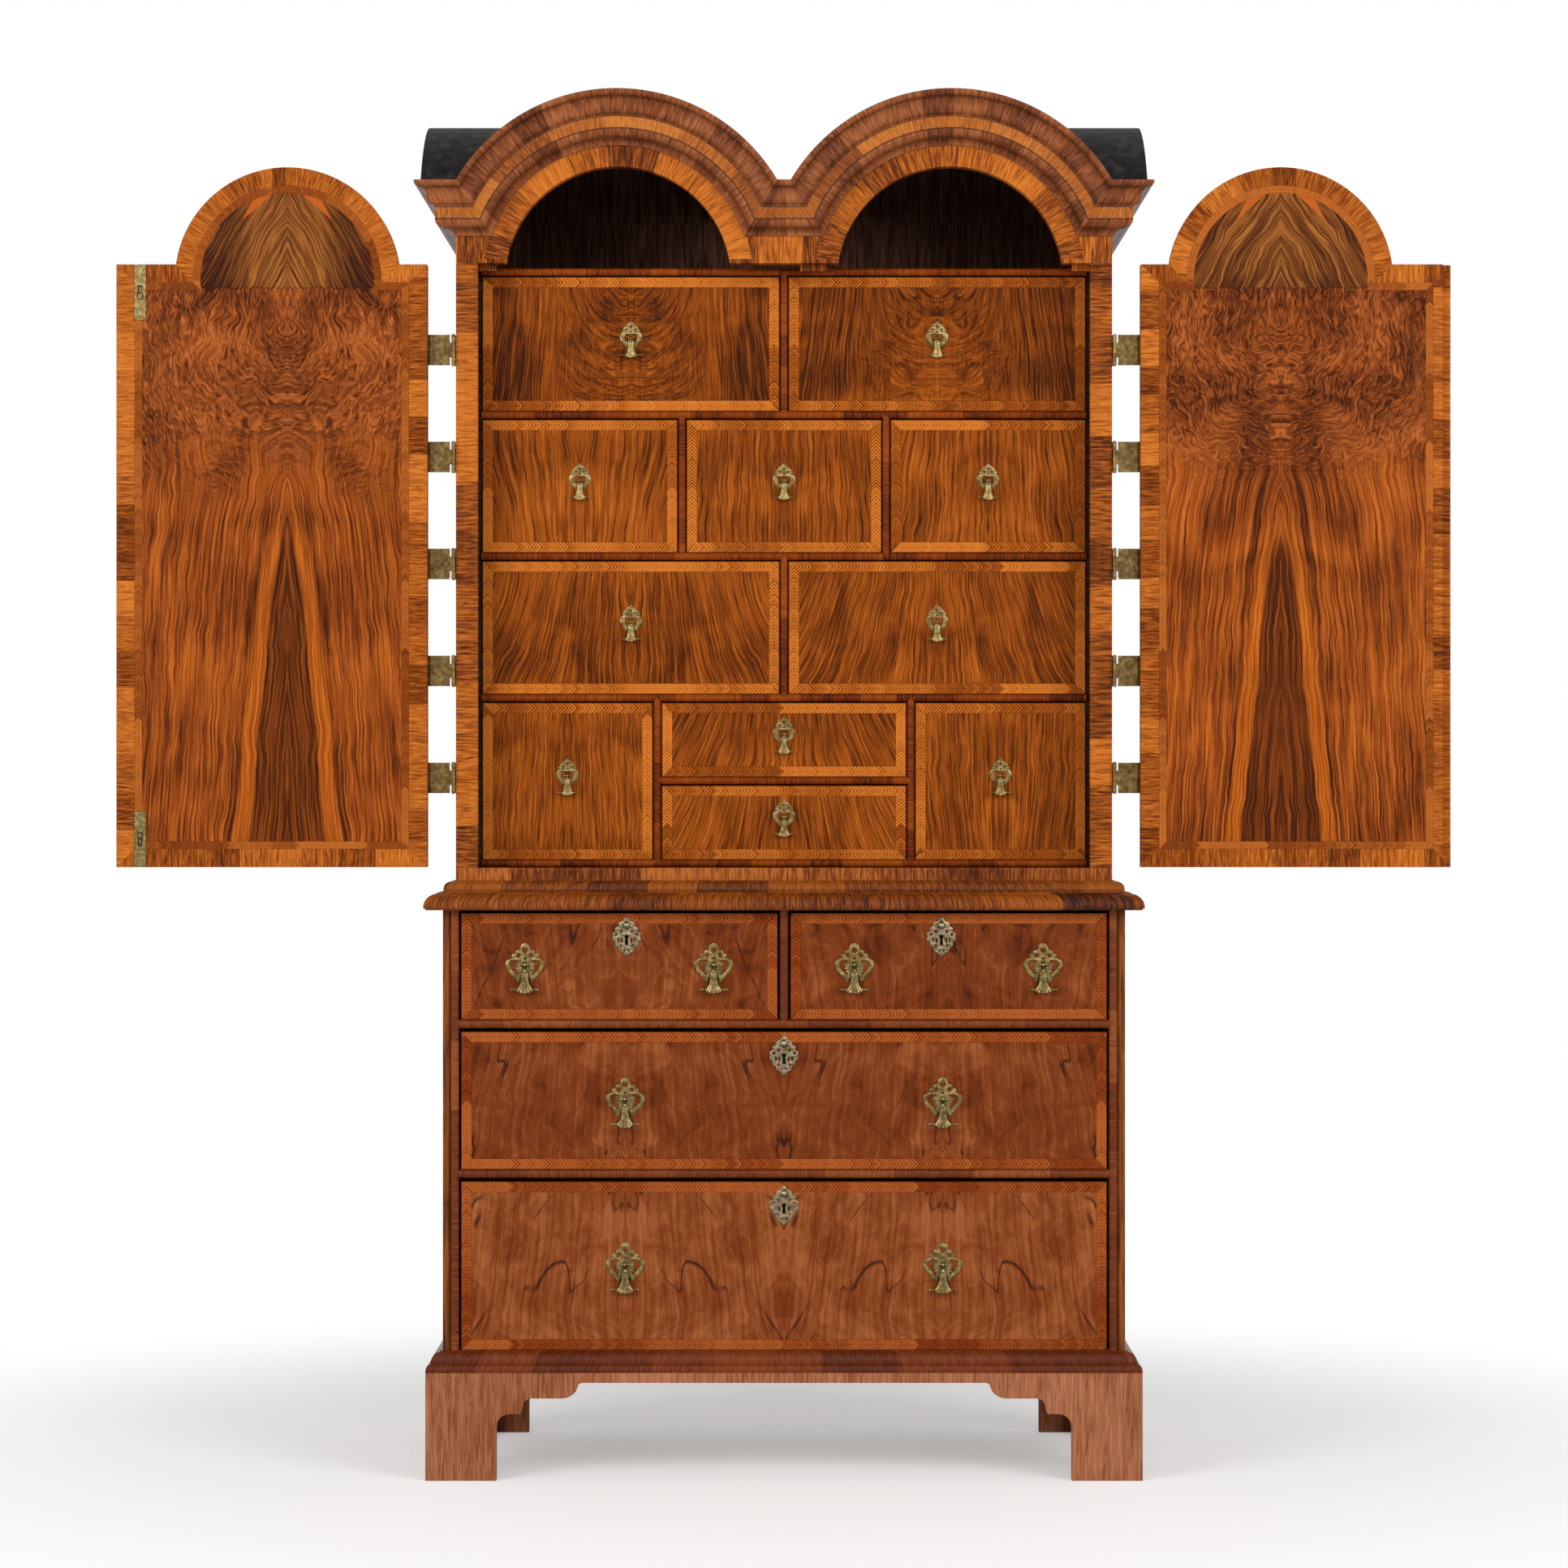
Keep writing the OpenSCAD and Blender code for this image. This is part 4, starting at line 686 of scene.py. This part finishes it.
def threeRuns(section, half, y, z, wood, seed):
    up = (0, 0, 1)
    corners = [((s * half, y, z), (s, -1, 0), up) for s in (-1, 1)]
    sides = [[corner, ((s * half, case["yBack"], z), (s, 0, 0), up)] for s, corner in zip((-1, 1), corners)]
    return [sweep(run, section, seed + k, wood) for k, run in enumerate([corners, *sides])]


def corniceRuns(section, h, wood):
    y, z, up = case["yFace"], case["zCornice"], (0, 0, 1)
    inner, outer = case["corniceRadius"], case["corniceRadius"] + h
    low = z - case["zArch"]
    mitreLow = math.sqrt(inner ** 2 - low ** 2)
    mitreHigh = math.sqrt(outer ** 2 - (low + h) ** 2)
    slant = (mitreHigh - mitreLow) / h
    startAngle, pinAngle = math.atan2(low, mitreLow), math.atan2(low + h, mitreHigh)
    turns = [startAngle + (pinAngle - startAngle) * k / 4 for k in range(5)]
    middle = [pinAngle + (math.pi - 2 * pinAngle) * k / 56 for k in range(1, 56)]
    meshes = []
    for s in (-1, 1):
        run = []
        for turn in [*turns, *middle, *(math.pi - t for t in reversed(turns))]:
            c, q = math.cos(turn), math.sin(turn)
            lean = (c, 0, q)
            if turn < pinAngle or turn > math.pi - pinAngle:
                way = 1 if turn < math.pi / 2 else -1
                lean = ((way * mitreHigh - inner * c) / h, 0, (low + h - inner * q) / h)
            run.append(((s * case["archX"] + inner * c, y, case["zArch"] + inner * q), (0, -1, 0), lean))
        corner = ((s * case["cabinetHalf"], y, z), (s, -1, 0), up)
        ends = [((s * (case["archX"] + mitreLow), y, z), (0, -1, 0), (s * slant, 0, 1)), corner]
        back = [corner, ((s * case["cabinetHalf"], case["yBack"], z), (s, 0, 0), up)]
        meshes += [sweep(places, section, seed + s, wood)
                   for places, seed in ((run, 3), (ends, 7), (back, 11))]
    gap = case["archX"] - mitreLow
    middleRun = [((-gap, y, z), (0, -1, 0), (slant, 0, 1)), ((gap, y, z), (0, -1, 0), (-slant, 0, 1))]
    return [*meshes, sweep(middleRun, section, 5, wood)]


def depthOf(section, point):
    reach = 0
    for k in range(1, len(section)):
        reach += math.dist(section[k], section[k - 1])
        if math.dist(section[k], point) < 0.01:
            return reach
    raise ValueError("no such point in the section")


p, h = mouldings["cornice"]
section = corniceSection(p, h)
under, over, hollow, lip = (depthOf(section, point)
                            for point in ((p - 29, 22), (p - 29, h - 36), (17, 9), (p - 7, h - 10)))
woods["cornice"] = runMaterial("crossGrainedWalnutCornice", "cornice", 34, 2.4, golden=(under, over),
                               shadedQuirks=(hollow, under, over, lip))
joined("cornice_mouldings", corniceRuns(section, h, woods["cornice"]), woods["cornice"],
       ("cornice", "cornice_returns"))
joined("waist_mouldings", [*threeRuns(waistSection(*mouldings["waist"]), case["chestHalf"], case["yChest"],
                                      case["zChest"], woods["waist"], 2),
                           *threeRuns(footSection(*mouldings["foot"]), case["cabinetHalf"], case["yFace"],
                                      case["zWaist"] + 0.2, woods["waist"], 14)],
       woods["waist"], ("waist_moulding",))
print("mouldings swept")


# Chest: sides with a bead down the front, rails and divider with half-round edges
def chestEdges():
    y, wide, wood = case["yChest"], case["railThickness"], woods["bead"]
    reach = case["pocketHalf"] + 6.4
    zRail = case["zRails"][1] + 6.6
    meshes = [edging((s * case["pocketHalf"], y, case["zFloor"]), (s * case["pocketHalf"], y, case["zChest"]),
                     (s, 0, 0), wide, 21 + s, wood) for s in (-1, 1)]
    meshes += [edging((-reach, y, z), (reach, y, z), (0, 0, 1), wide, 24 + k, wood)
               for k, z in enumerate(case["zRails"])]
    return [*meshes, edging((-wide / 2, y, zRail), (-wide / 2, y, case["zChest"]), (1, 0, 0), wide, 27, wood)]


joined("chest_edges", chestEdges(), woods["bead"])
inner, outer, y, wide = case["pocketHalf"], case["chestHalf"], case["yChest"], case["railThickness"]
back, bottom, top = case["yBack"], case["zBase"], case["zChest"]
left, right = bothSides(inner, outer, y + 3, back, bottom, top)
leftFront, rightFront = bothSides(outer - case["sideFront"], outer, y, y + 3, bottom, top)
makePiece("chest_side_boards", boxes(left, leftFront, right, rightFront), woods["side"], "case", "red_walnut",
          ["chest_sides"], 0.8)
makePiece("chest_rail_boards",
          boxes(*((-inner, inner, y + 8, back - 12, z, z + wide) for z in case["zRails"]),
                (-wide / 2, wide / 2, y + 8, back - 12, case["zRails"][1] + wide, top)),
          woods["oak"], "case", "oak", ["chest_rails", "chest_divider"], weighted=False)

# Base moulding with its apron, and the bracket feet
joined("base_runs", threeRuns(baseSection(*mouldings["base"]), outer, y, bottom, woods["base"], 31),
       woods["base"])
foot = {"half": 527, "front": -243, "thickness": 20, "wing": 230, "zApron": 144}
inner, y, thick = foot["half"] - foot["wing"], foot["front"], foot["thickness"]
apron = boxes((-inner, inner, y, y + thick, foot["zApron"], bottom),
              *bothSides(foot["half"] - thick, foot["half"], y + foot["wing"], back - foot["wing"],
                         foot["zApron"], bottom))
makePiece("apron_strips", apron, woods["feet"], "case", "red_walnut", ["base_moulding"], 0.6)
for node in ("front_feet", "rear_feet"):
    makePiece(node + "_shaped", mergedCopy(node), woods["feet"], "case", "red_walnut", [node], 0.8)
print("chest carcase done")

# Cabinet: face with crossbanded stiles and arches, roof, and nest of boards with half-round edges
y, yInner = case["yFace"], case["yFace"] + case["faceThickness"]
stiles = boxes(*bothSides(case["openingHalf"], case["cabinetHalf"], y, yInner, case["zOpening"],
                          case["zShoulder"]))
makePiece("crossbanded_stiles", stiles, woods["stile"], "case", "golden_walnut", ["face_stiles"], 0.7,
          stored={"grain": lambda p: (p.z, p.x, 2.0 if p.x > 0 else 5.0)})
makePiece("arched_head", mergedCopy("arch_board"), veneers["head"], "case", "golden_walnut",
          ["arch_board"], 0.7)
makePiece("domed_roof", mergedCopy("dome_roof"), woods["roof"], "case", "black_paint", ["dome_roof"])

nest = {"thickness": 11, "shelves": (900, 1147, 1358, 1569, 1782), "middleHalf": 183.5, "middleShelf": 1023.5}
t, half = nest["thickness"], nest["middleHalf"]
third = (2 * case["nestHalf"] - 2 * t) / 3 / 2
zRow4, zRow3, zRow2, zRow1 = ((low + t, high) for low, high in zip(nest["shelves"], nest["shelves"][1:]))
uprights = ((-t / 2, *zRow1), (-third - t, *zRow2), (third, *zRow2), (-t / 2, *zRow3), (-half - t, *zRow4),
            (half, *zRow4))


def nestEdges():
    y, wood = case["yNest"], woods["edge"]
    rows = [(case["nestHalf"], z, 41 + k) for k, z in enumerate(nest["shelves"])]
    rows.append((half + t / 2, nest["middleShelf"], 48))
    meshes = [edging((-reach, y, z), (reach, y, z), (0, 0, 1), t, seed, wood) for reach, z, seed in rows]
    return meshes + [edging((x, y, z0 - t / 2), (x, y, z1 + t / 2), (1, 0, 0), t, 51 + k, wood)
                     for k, (x, z0, z1) in enumerate(uprights)]


joined("nest_edges", nestEdges(), woods["edge"])
front, back = case["yNest"] + 8, case["yInside"]
makePiece("nest_shelf_boards",
          boxes(*((-case["nestHalf"], case["nestHalf"], front, back, z, z + t) for z in nest["shelves"]),
                (-half, half, front, back, nest["middleShelf"], nest["middleShelf"] + t)),
          woods["dark"], "case", "dark_walnut", ["nest_shelves"], weighted=False)
makePiece("nest_upright_boards",
          boxes(*((x, x + t, front, back, z0, z1) for x, z0, z1 in uprights),
                *bothSides(case["nestHalf"], case["liningHalf"], case["yNest"], back, case["zOpening"],
                           nest["shelves"][-1] + t)),
          woods["dark"], "case", "dark_walnut", ["nest_uprights"], weighted=False)
outer, top = case["cabinetHalf"], case["zOpening"]
makePiece("floor_rail", boxes((-outer, outer, y, yInner, case["zWaist"], top)), woods["rail"], "case",
          "red_walnut", ["cabinet_floor"], 0.7, stored={"grain": lambda p: (p.x, p.z, 9.0)})
outer = case["liningHalf"]
makePiece("floor_board", boxes((-outer, outer, yInner, back, case["zFloorUnder"], top)), woods["dark"],
          "case", "red_walnut", weighted=False)
print("cabinet carcase done")

# Nodes that keep their own mesh, and the wood or metal on each
kept = {"chest_floor": woods["oak"], "chest_back": woods["back"], "chest_top": woods["side"],
        "cabinet_back": woods["lined"], "cabinet_sides": woods["lined"], "hinge_pins": metals["brass"],
        "top_bolt": metals["brass"], "bottom_bolt": metals["brass"]}
for node, material in kept.items():
    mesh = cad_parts[node].data
    mesh.materials.clear()
    mesh.materials.append(material)

# Doors and their brass
for side in ("left_door", "right_door"):
    makePiece(side + "_board", mergedCopy(side), veneers["door"], side, "door_walnut", [side], 0.9)
for node, body in (("left_door_leaves", "left_door"), ("right_door_leaves", "right_door"),
                   ("case_hinge_leaves", "case"), ("bolt_plates", "left_door"), ("door_lock", "right_door")):
    metal = metals["brass" if node == "bolt_plates" else "hinge"]
    makePiece(node + "_brass", mergedCopy(node), metal, body, "brass", [node], 0.3)
print("doors done")

# Pulls and escutcheons. Heights are from the pivot. bar is the length of the beaded bar across the drop's
# foot, neck and flare are half widths of the drop.
pulls = {
    "chest": {"reach": 11, "bar": 42, "top": -11, "foot": -41.5, "neck": 5.4, "flare": 13.4, "barAt": -36.5,
              "bead": 2.1, "ball": 3.7, "inset": 20.3},
    "small": {"reach": 8.5, "bar": 31, "top": -4.8, "foot": -28.6, "neck": 4.7, "flare": 9, "barAt": -24.8,
              "bead": 1.4, "ball": 2.2},
}
escutcheon = {"height": 60, "drop": 5, "shortX": 232}


def mirroredOutline(half):
    return [*half, *((-x, z) for x, z in reversed(half) if x > 0.01)]


def circle(x, z, r, count=14):
    return arcPoints(x, z, r, r, 0, 360 - 360 / count, count - 1)


# Lobes round the given centres, each an arc about its own direction
def lobes(places, r, origin=8, spread=75):
    points = []
    for x, z in places:
        turn = math.degrees(math.atan2(z - origin, x))
        points += arcPoints(x, z, r, r, turn - spread, turn + spread, 5)
    return points


def chestPlate():
    half = [(0, -17), (5.5, -18.5), *arcPoints(9.2, -22.6, 3, 3, -165, -30, 5), (14.5, -20.2), (20, -15.4),
            (25, -9.6), *arcPoints(22.2, 0.4, 6.8, 7.4, -28, 84, 8), (20.4, 9.4),
            *lobes([(16.6, 12.6), (11, 18)], 3.4), *arcPoints(0, 24.8, 7, 7, -8, 90, 8)]
    scroll = [(8.6, 5.4), (13, 7), (18, 6.6), (22, 3.5), (23, -1), (21.4, -5.5), (17.5, -10), (13.6, -13.5),
              (10.8, -16), (10.2, -11.5), (14, -10), (10.4, -7.2), (15.2, -5), (11.4, -2.6), (16.8, 0.4),
              (11.8, 1), (14, 3.6), (9.6, 3.2)]
    holes = [circle(0, 21, 4), circle(0, 9, 2.2, 10)]
    for s in (-1, 1):
        holes += [circle(s * 9.8, 13.4, 3.3), [(s * x, z) for x, z in scroll]]
    return [mirroredOutline(half), *holes]


def smallPlate():
    half = [(0, -12), (6.4, -12.6), (8.4, -10.8), (12.2, -6.8), (15.2, -2.4), (16.6, 2), (16.2, 5.4),
            (14.2, 8.4), (12.2, 9.4), *lobes([(11.2, 12), (9.2, 15.6), (6.4, 18.8), (3.2, 21.4)], 1.9),
            *arcPoints(0, 23.6, 2.1, 2.1, -10, 90, 4)]
    eye = [(4.4, 7), (8.2, 6), (9.6, 1.6), (8, -3.4), (4.6, -6)]
    return [mirroredOutline(half), mirroredOutline(eye), circle(0, 17.4, 1.9, 10), circle(0, 10.2, 1.4, 8),
            circle(-5.8, 13.2, 1.5, 8), circle(5.8, 13.2, 1.5, 8)]


# A lozenge whose edge is scalloped, pierced round the keyhole
def escutcheonOutlines():
    outer = []
    for k in range(140):
        turn = 2 * math.pi * k / 140
        c, s = abs(math.cos(turn)) / 20.6, abs(math.sin(turn)) / 28
        r = (c ** 1.3 + s ** 1.3) ** (-1 / 1.3) * 0.96 + 2.6 * abs(math.sin(7 * turn))
        outer.append((r * math.cos(turn), r * math.sin(turn)))
    holes = [arcPoints(s * x, z, wide, high, 0, 330, 11) for s in (-1, 1) for x, z, wide, high in (
        (15.4, 3.4, 2.3, 2.3), (8, 7.8, 2.4, 2.9), (12, -4.6, 1.9, 3.6), (7.2, -5.6, 1.7, 4.2),
        (8.4, -13.4, 1.9, 2.2), (3.4, -20.4, 1.5, 1.7))]
    return [outer, *holes, [*arcPoints(0, 0, 3.2, 3.2, -50, 230, 12), (-2.4, -12), (2.4, -12)]]


# Pierced plate of the given thickness with rounded edges, in the plane that faces -Y, back at y = 0
def piercedPlate(outlines, thickness, bevel=0.42):
    curve = bpy.data.curves.new("pierced", "CURVE")
    curve.dimensions, curve.fill_mode = "2D", "BOTH"
    curve.extrude, curve.bevel_depth, curve.bevel_resolution = (thickness / 2 - bevel) * mm, bevel * mm, 1
    curve.offset = -bevel * mm
    for outline in outlines:
        spline = curve.splines.new("POLY")
        spline.points.add(len(outline) - 1)
        spline.points.foreach_set("co", [c for x, z in outline for c in (x * mm, z * mm, 0, 1)])
        spline.use_cyclic_u = True
    mesh = settled(linked("pierced", curve))
    bm = bmesh.new()
    bm.from_mesh(mesh)
    bmesh.ops.remove_doubles(bm, verts=bm.verts, dist=1e-6)
    for vertex in bm.verts:
        x, up, out = vertex.co / mm
        vertex.co = (x, -out - thickness / 2, up)
    bmesh.ops.recalc_face_normals(bm, faces=bm.faces)
    if bm.calc_volume(signed=True) < 0:
        bmesh.ops.reverse_faces(bm, faces=bm.faces)
    mesh.clear_geometry()
    bm.to_mesh(mesh)
    bm.free()
    return mesh


plates = {"chest": piercedPlate(chestPlate(), 1.5), "small": piercedPlate(smallPlate(), 1.2, 0.3),
          "escutcheon": piercedPlate(escutcheonOutlines(), 1.5)}


def addMesh(bm, mesh, place):
    known = set(bm.verts)
    bm.from_mesh(mesh)
    for vertex in bm.verts:
        if vertex not in known:
            vertex.co += Vector(place)


def addRod(bm, start, end, radius, count=20, endRadius=None):
    middle, axis = (Vector(start) + Vector(end)) / 2, Vector(end) - Vector(start)
    matrix = Matrix.Translation(middle) @ axis.to_track_quat("Z", "Y").to_matrix().to_4x4()
    bmesh.ops.create_cone(bm, cap_ends=True, segments=count, radius1=radius, radius2=endRadius or radius,
                          depth=axis.length, matrix=matrix)


def addBall(bm, place, radius, flat=1.0):
    matrix = Matrix.Translation(Vector(place)) @ Matrix.Diagonal((1, flat, 1, 1))
    bmesh.ops.create_uvsphere(bm, u_segments=16, v_segments=10, radius=radius, matrix=matrix)


# Back plate, post and pin of one pull, its pivot at place
def addPullPlate(bm, kind, place):
    reach = pulls[kind]["reach"]
    k = reach / 11
    x, y, z = place
    addMesh(bm, plates[kind], (x, y + reach, z))
    addRod(bm, (x, y + reach, z), (x, y - 1.4 * k, z), 2.5 * k)
    addBall(bm, (x, y - 1.4 * k, z), 2.5 * k, 0.6)
    addRod(bm, (x, y + reach - 1.5, z), (x, y + reach - 2.9, z), 4.6 * k, endRadius=3.2 * k)
    addRod(bm, (x - 5.6 * k, y, z), (x + 5.6 * k, y, z), 1.05 * k, 12)


# Flared drop with flutes that fan out over its front, hung on two ears, a beaded bar across its foot
def addDrop(bm, kind, place):
    pull = pulls[kind]
    k = pull["flare"] / 13.4
    x0, y0, z0 = place
    rows, columns = 22, 32
    rings = []
    for i in range(rows + 1):
        t = i / rows
        width = pull["neck"] + (pull["flare"] - pull["neck"]) * (0.1 * t + 0.9 * t ** 4)
        front, back = [], []
        for j in range(columns + 1):
            a = -1 + 2 * j / columns
            flute = 0.7 * (1 + math.cos(a * 5 * math.pi)) / 2 * min(1, 4 * t)
            out = (2.6 - 0.5 * t) * math.sqrt(max(0, 1 - abs(a) ** 3)) + flute * (1 - a * a)
            z = z0 + pull["top"] + (pull["foot"] + 4.4 * k * a * a - pull["top"]) * t
            front.append(bm.verts.new((x0 + width * a, y0 - k * out, z)))
            back.append(bm.verts.new((x0 + width * a, y0 + k * 1.8, z)))
        rings.append([*front, *reversed(back)])
    for upper, lower in zip(rings, rings[1:]):
        for j in range(len(upper)):
            bm.faces.new((upper[j - 1], lower[j - 1], lower[j], upper[j]))
    for ring, way in ((rings[0], 1), (rings[-1], -1)):
        for j in range(columns):
            bm.faces.new((ring[j], ring[j + 1], ring[-j - 2], ring[-j - 1])[::way])
    half, z, y = pull["bar"] / 2 - pull["bead"], z0 + pull["barAt"], y0 - 0.3 * k
    top = z0 + pull["top"]
    addRod(bm, (x0 - half, y, z), (x0 + half, y, z), pull["bead"] * 0.5, 12)
    for s in (-1, 1):
        addRod(bm, (x0 + s * 3.2 * k, y0, z0), (x0 + s * 5.2 * k, y0, z0), 2.6 * k)
        addRod(bm, (x0 + s * 4.2 * k, y0, z0), (x0 + s * 4.2 * k, y0, top - 1), 1.05 * k, 12)
        for step in range(3):
            bead = pull["bead"] * (1 - 0.06 * step)
            addBall(bm, (x0 + s * (half - 1.72 * pull["bead"] * step), y, z), bead)
    addBall(bm, (x0, y0 - 0.4 * k, top + 1.6 * k), pull["ball"], 0.8)
    addRod(bm, (x0 - 5 * k, y0 - 0.2 * k, top), (x0 + 5 * k, y0 - 0.2 * k, top), 1.3 * k, 12)


# Drawers: a veneered front and an oak box behind it
drawerKinds = {
    "small": {"front": 16, "side": 7, "bottom": 7, "drop": 4, "y": case["yNest"], "round": 1.4,
              "slot": "drawer_walnut"},
    "chest": {"front": 22, "side": 11, "bottom": 7, "drop": 4, "y": case["yChest"], "round": 1.8,
              "slot": "chest_drawer_walnut"},
}
# Share of burr, shift of tone, fan of the grain, and the fold that the figure is matched about
smallLooks = {
    "row1_left": (0.9, -0.03, 0.6, 0), "row1_right": (0.9, -0.025, 0.6, 0),
    "row2_left": (0, 0.015, -1.6, 0), "row2_middle": (0, -0.005, 0.4, 0), "row2_right": (0, 0.005, 1.2, 0),
    "row3_left": (0, -0.015, 2, 0), "row3_right": (0, -0.005, 2.2, 0),
    "row4_left": (0, 0, 0.8, 0), "row4_upper": (0, -0.005, 3, 0), "row4_lower": (0, 0, 3, 0),
    "row4_right": (0, 0, -0.8, 0),
}
chestLooks = {
    "top_left": (0.5, 0.0, -1.2, 0), "top_right": (0.5, 0.0, -1.2, 0), "middle": (0.45, 0.0, 0.8, 234),
    "bottom": (0.4, 0.05, 0.8, 234),
}
castPiece = {"weighted": False, "facing": True}


# Pivots of the drops of a node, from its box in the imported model
def pivotsOf(node, kind):
    reach = pulls[kind]["reach"]
    low, high = (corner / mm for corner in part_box(node))
    y, z = drawerKinds[kind]["y"] - reach, high.z - reach / 4
    if kind == "small":
        return [((low.x + high.x) / 2, y, z)]
    inset = pulls[kind]["inset"]
    return [(low.x + inset, y, z), (high.x - inset, y, z)]


def makeDrawer(node, kind, seed, burr, shade, fan, fold):
    size = drawerKinds[kind]
    (x0, _, z0), (x1, yEnd, z1) = (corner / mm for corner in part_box(node))
    y, yInner = size["y"], size["y"] + size["front"]
    half = ((x1 - x0) / 2 * mm, (z1 - z0) / 2 * mm, fold * mm)
    centre = Vector(((x0 + x1) / 2, 0, (z0 + z1) / 2)) * mm
    makePiece(node + "_front", boxes((x0, x1, y, yInner, z0, z1)), veneers[kind], node, size["slot"], [node],
              size["round"], 3, stored={"panel": lambda p: (p.x - centre.x, p.z - centre.z, seed),
                                        "half": lambda p: half, "look": lambda p: (burr, shade, fan)})
    side, top = size["side"], z1 - size["drop"]
    box = boxes((x0, x0 + side, yInner, yEnd, z0, top), (x1 - side, x1, yInner, yEnd, z0, top),
                (x0 + side, x1 - side, yEnd - side, yEnd, z0, top),
                (x0 + side, x1 - side, yInner, yEnd - side, z0 + 3, z0 + 3 + size["bottom"]))
    makePiece(node + "_box", box, woods["oak"], node, "oak", soft=0.5)
    bm = bmesh.new()
    for place in pivotsOf(node.replace("chest_drawer", "drops").replace("drawer", "drop"), kind):
        addPullPlate(bm, kind, place)
    makePiece(node + "_plates", bm, metals["brass"], node, "brass", angle=40, **castPiece)
    if kind == "chest":
        x = escutcheon["shortX"] * (node.endswith("top_right") - node.endswith("top_left"))
        z = z1 - escutcheon["drop"] - escutcheon["height"] / 2
        bm = bmesh.new()
        addMesh(bm, plates["escutcheon"], (x, y, z))
        for across, up, radius, flat in ((0, 17, 5, 0.55), (0, 24.5, 2.4, 0.5), (-7, 15.5, 2.2, 0.5),
                                         (7, 15.5, 2.2, 0.5)):
            addBall(bm, (x + across, y - 1.5, z + up), radius, flat)
        makePiece(node + "_escutcheon", bm, metals["escutcheon"], node, "brass", angle=40, **castPiece)
        # a thin near-black plate on the face behind the keyhole: the lock's iron, and painted shade seen
        # through the keyhole
        lockAndKeyholeShade = boxes((x - 4, x + 4, y - 0.12, y + 0.5, z - 12.5, z + 4))
        makePiece(node + "_lock_case", lockAndKeyholeShade, metals["iron"], node, "brass", weighted=False)


for k, (name, look) in enumerate(smallLooks.items()):
    makeDrawer("drawer_" + name, "small", 1.3 + 2.1 * k, *look)
for k, (name, look) in enumerate(chestLooks.items()):
    makeDrawer("chest_drawer_" + name, "chest", 31.7 + 2.7 * k, *look)
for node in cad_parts:
    if node.startswith("drop"):
        kind = "chest" if node.startswith("drops") else "small"
        bm = bmesh.new()
        for place in pivotsOf(node, kind):
            addDrop(bm, kind, place)
        makePiece(node + "_brass", bm, metals["brass"], node, "brass", [node], angle=50, **castPiece)
print("drawers done")


# Studio: pale floor that keeps the shadow near the piece and fades to plain white, two broad soft lamps
# and a weak one from the front
def seenPlainly(n):
    paths = n("LightPath").outputs
    return n("max", *(paths[key] for key in ("Is Camera Ray", "Is Glossy Ray", "Is Transmission Ray")))


def paleFloor(n):
    far = n("VectorMath", n("TexCoord").outputs["Object"], operation="LENGTH").outputs["Value"]
    fade = n("MapRange", far, 0.75, 1.9, **smooth)
    white, glow = (n("Emission", "#ffffff", strength) for strength in (1.0, 0.345))
    shown = n("MixShader", fade, n("AddShader", glow, n("BsdfDiffuse", "#e2e2e2")), white)
    return n("MixShader", seenPlainly(n), n("BsdfDiffuse", "#d8d8d8"), shown)


studio = {"floor": 14, "camera": (0, -6.703, 1.024), "lens": 100.95, "sensor": 36, "lookedAt": (0, 0, 1),
          "lamps": {"left": ((-3.4, -4.2, 2.6), 2.6, 120), "right": ((3.4, -4.2, 2.6), 2.6, 120),
                    "front": ((0, -5.5, 4.2), 3, 48)}}
floorMesh = bpy.data.meshes.new("studioFloor")
corners = [(x * studio["floor"], y * studio["floor"], 0) for x, y in ((-1, -1), (1, -1), (1, 1), (-1, 1))]
floorMesh.from_pydata(corners, [], [(0, 1, 2, 3)])
floorMesh.materials.append(newMaterial("palePaper", paleFloor))
linked("studioFloor", floorMesh)

world = bpy.data.worlds.new("studio")
bpy.context.scene.world = world
world.use_nodes = True
world.node_tree.nodes.clear()
n = partial(addNode, world.node_tree)
n("OutputWorld", n("Background", "#ffffff", n("MapRange", seenPlainly(n), 0, 1, 0.36, 1)))

for name, (place, size, power) in studio["lamps"].items():
    lamp = bpy.data.lights.new(name, "AREA")
    lamp.shape, lamp.size, lamp.energy = "SQUARE", size, power
    lampObject = linked(name, lamp)
    lampObject.location = place
    aim = Vector(studio["lookedAt"]) - Vector(place)
    lampObject.rotation_euler = aim.to_track_quat("-Z", "Y").to_euler()

camera = bpy.data.cameras.new("photoView")
camera.lens, camera.sensor_width = studio["lens"], studio["sensor"]
cameraObject = linked("photoView", camera)
cameraObject.location = studio["camera"]
cameraObject.rotation_euler = (math.pi / 2, 0, 0)
bpy.context.scene.camera = cameraObject
bpy.context.scene.view_settings.view_transform = "Standard"
print("studio ready")
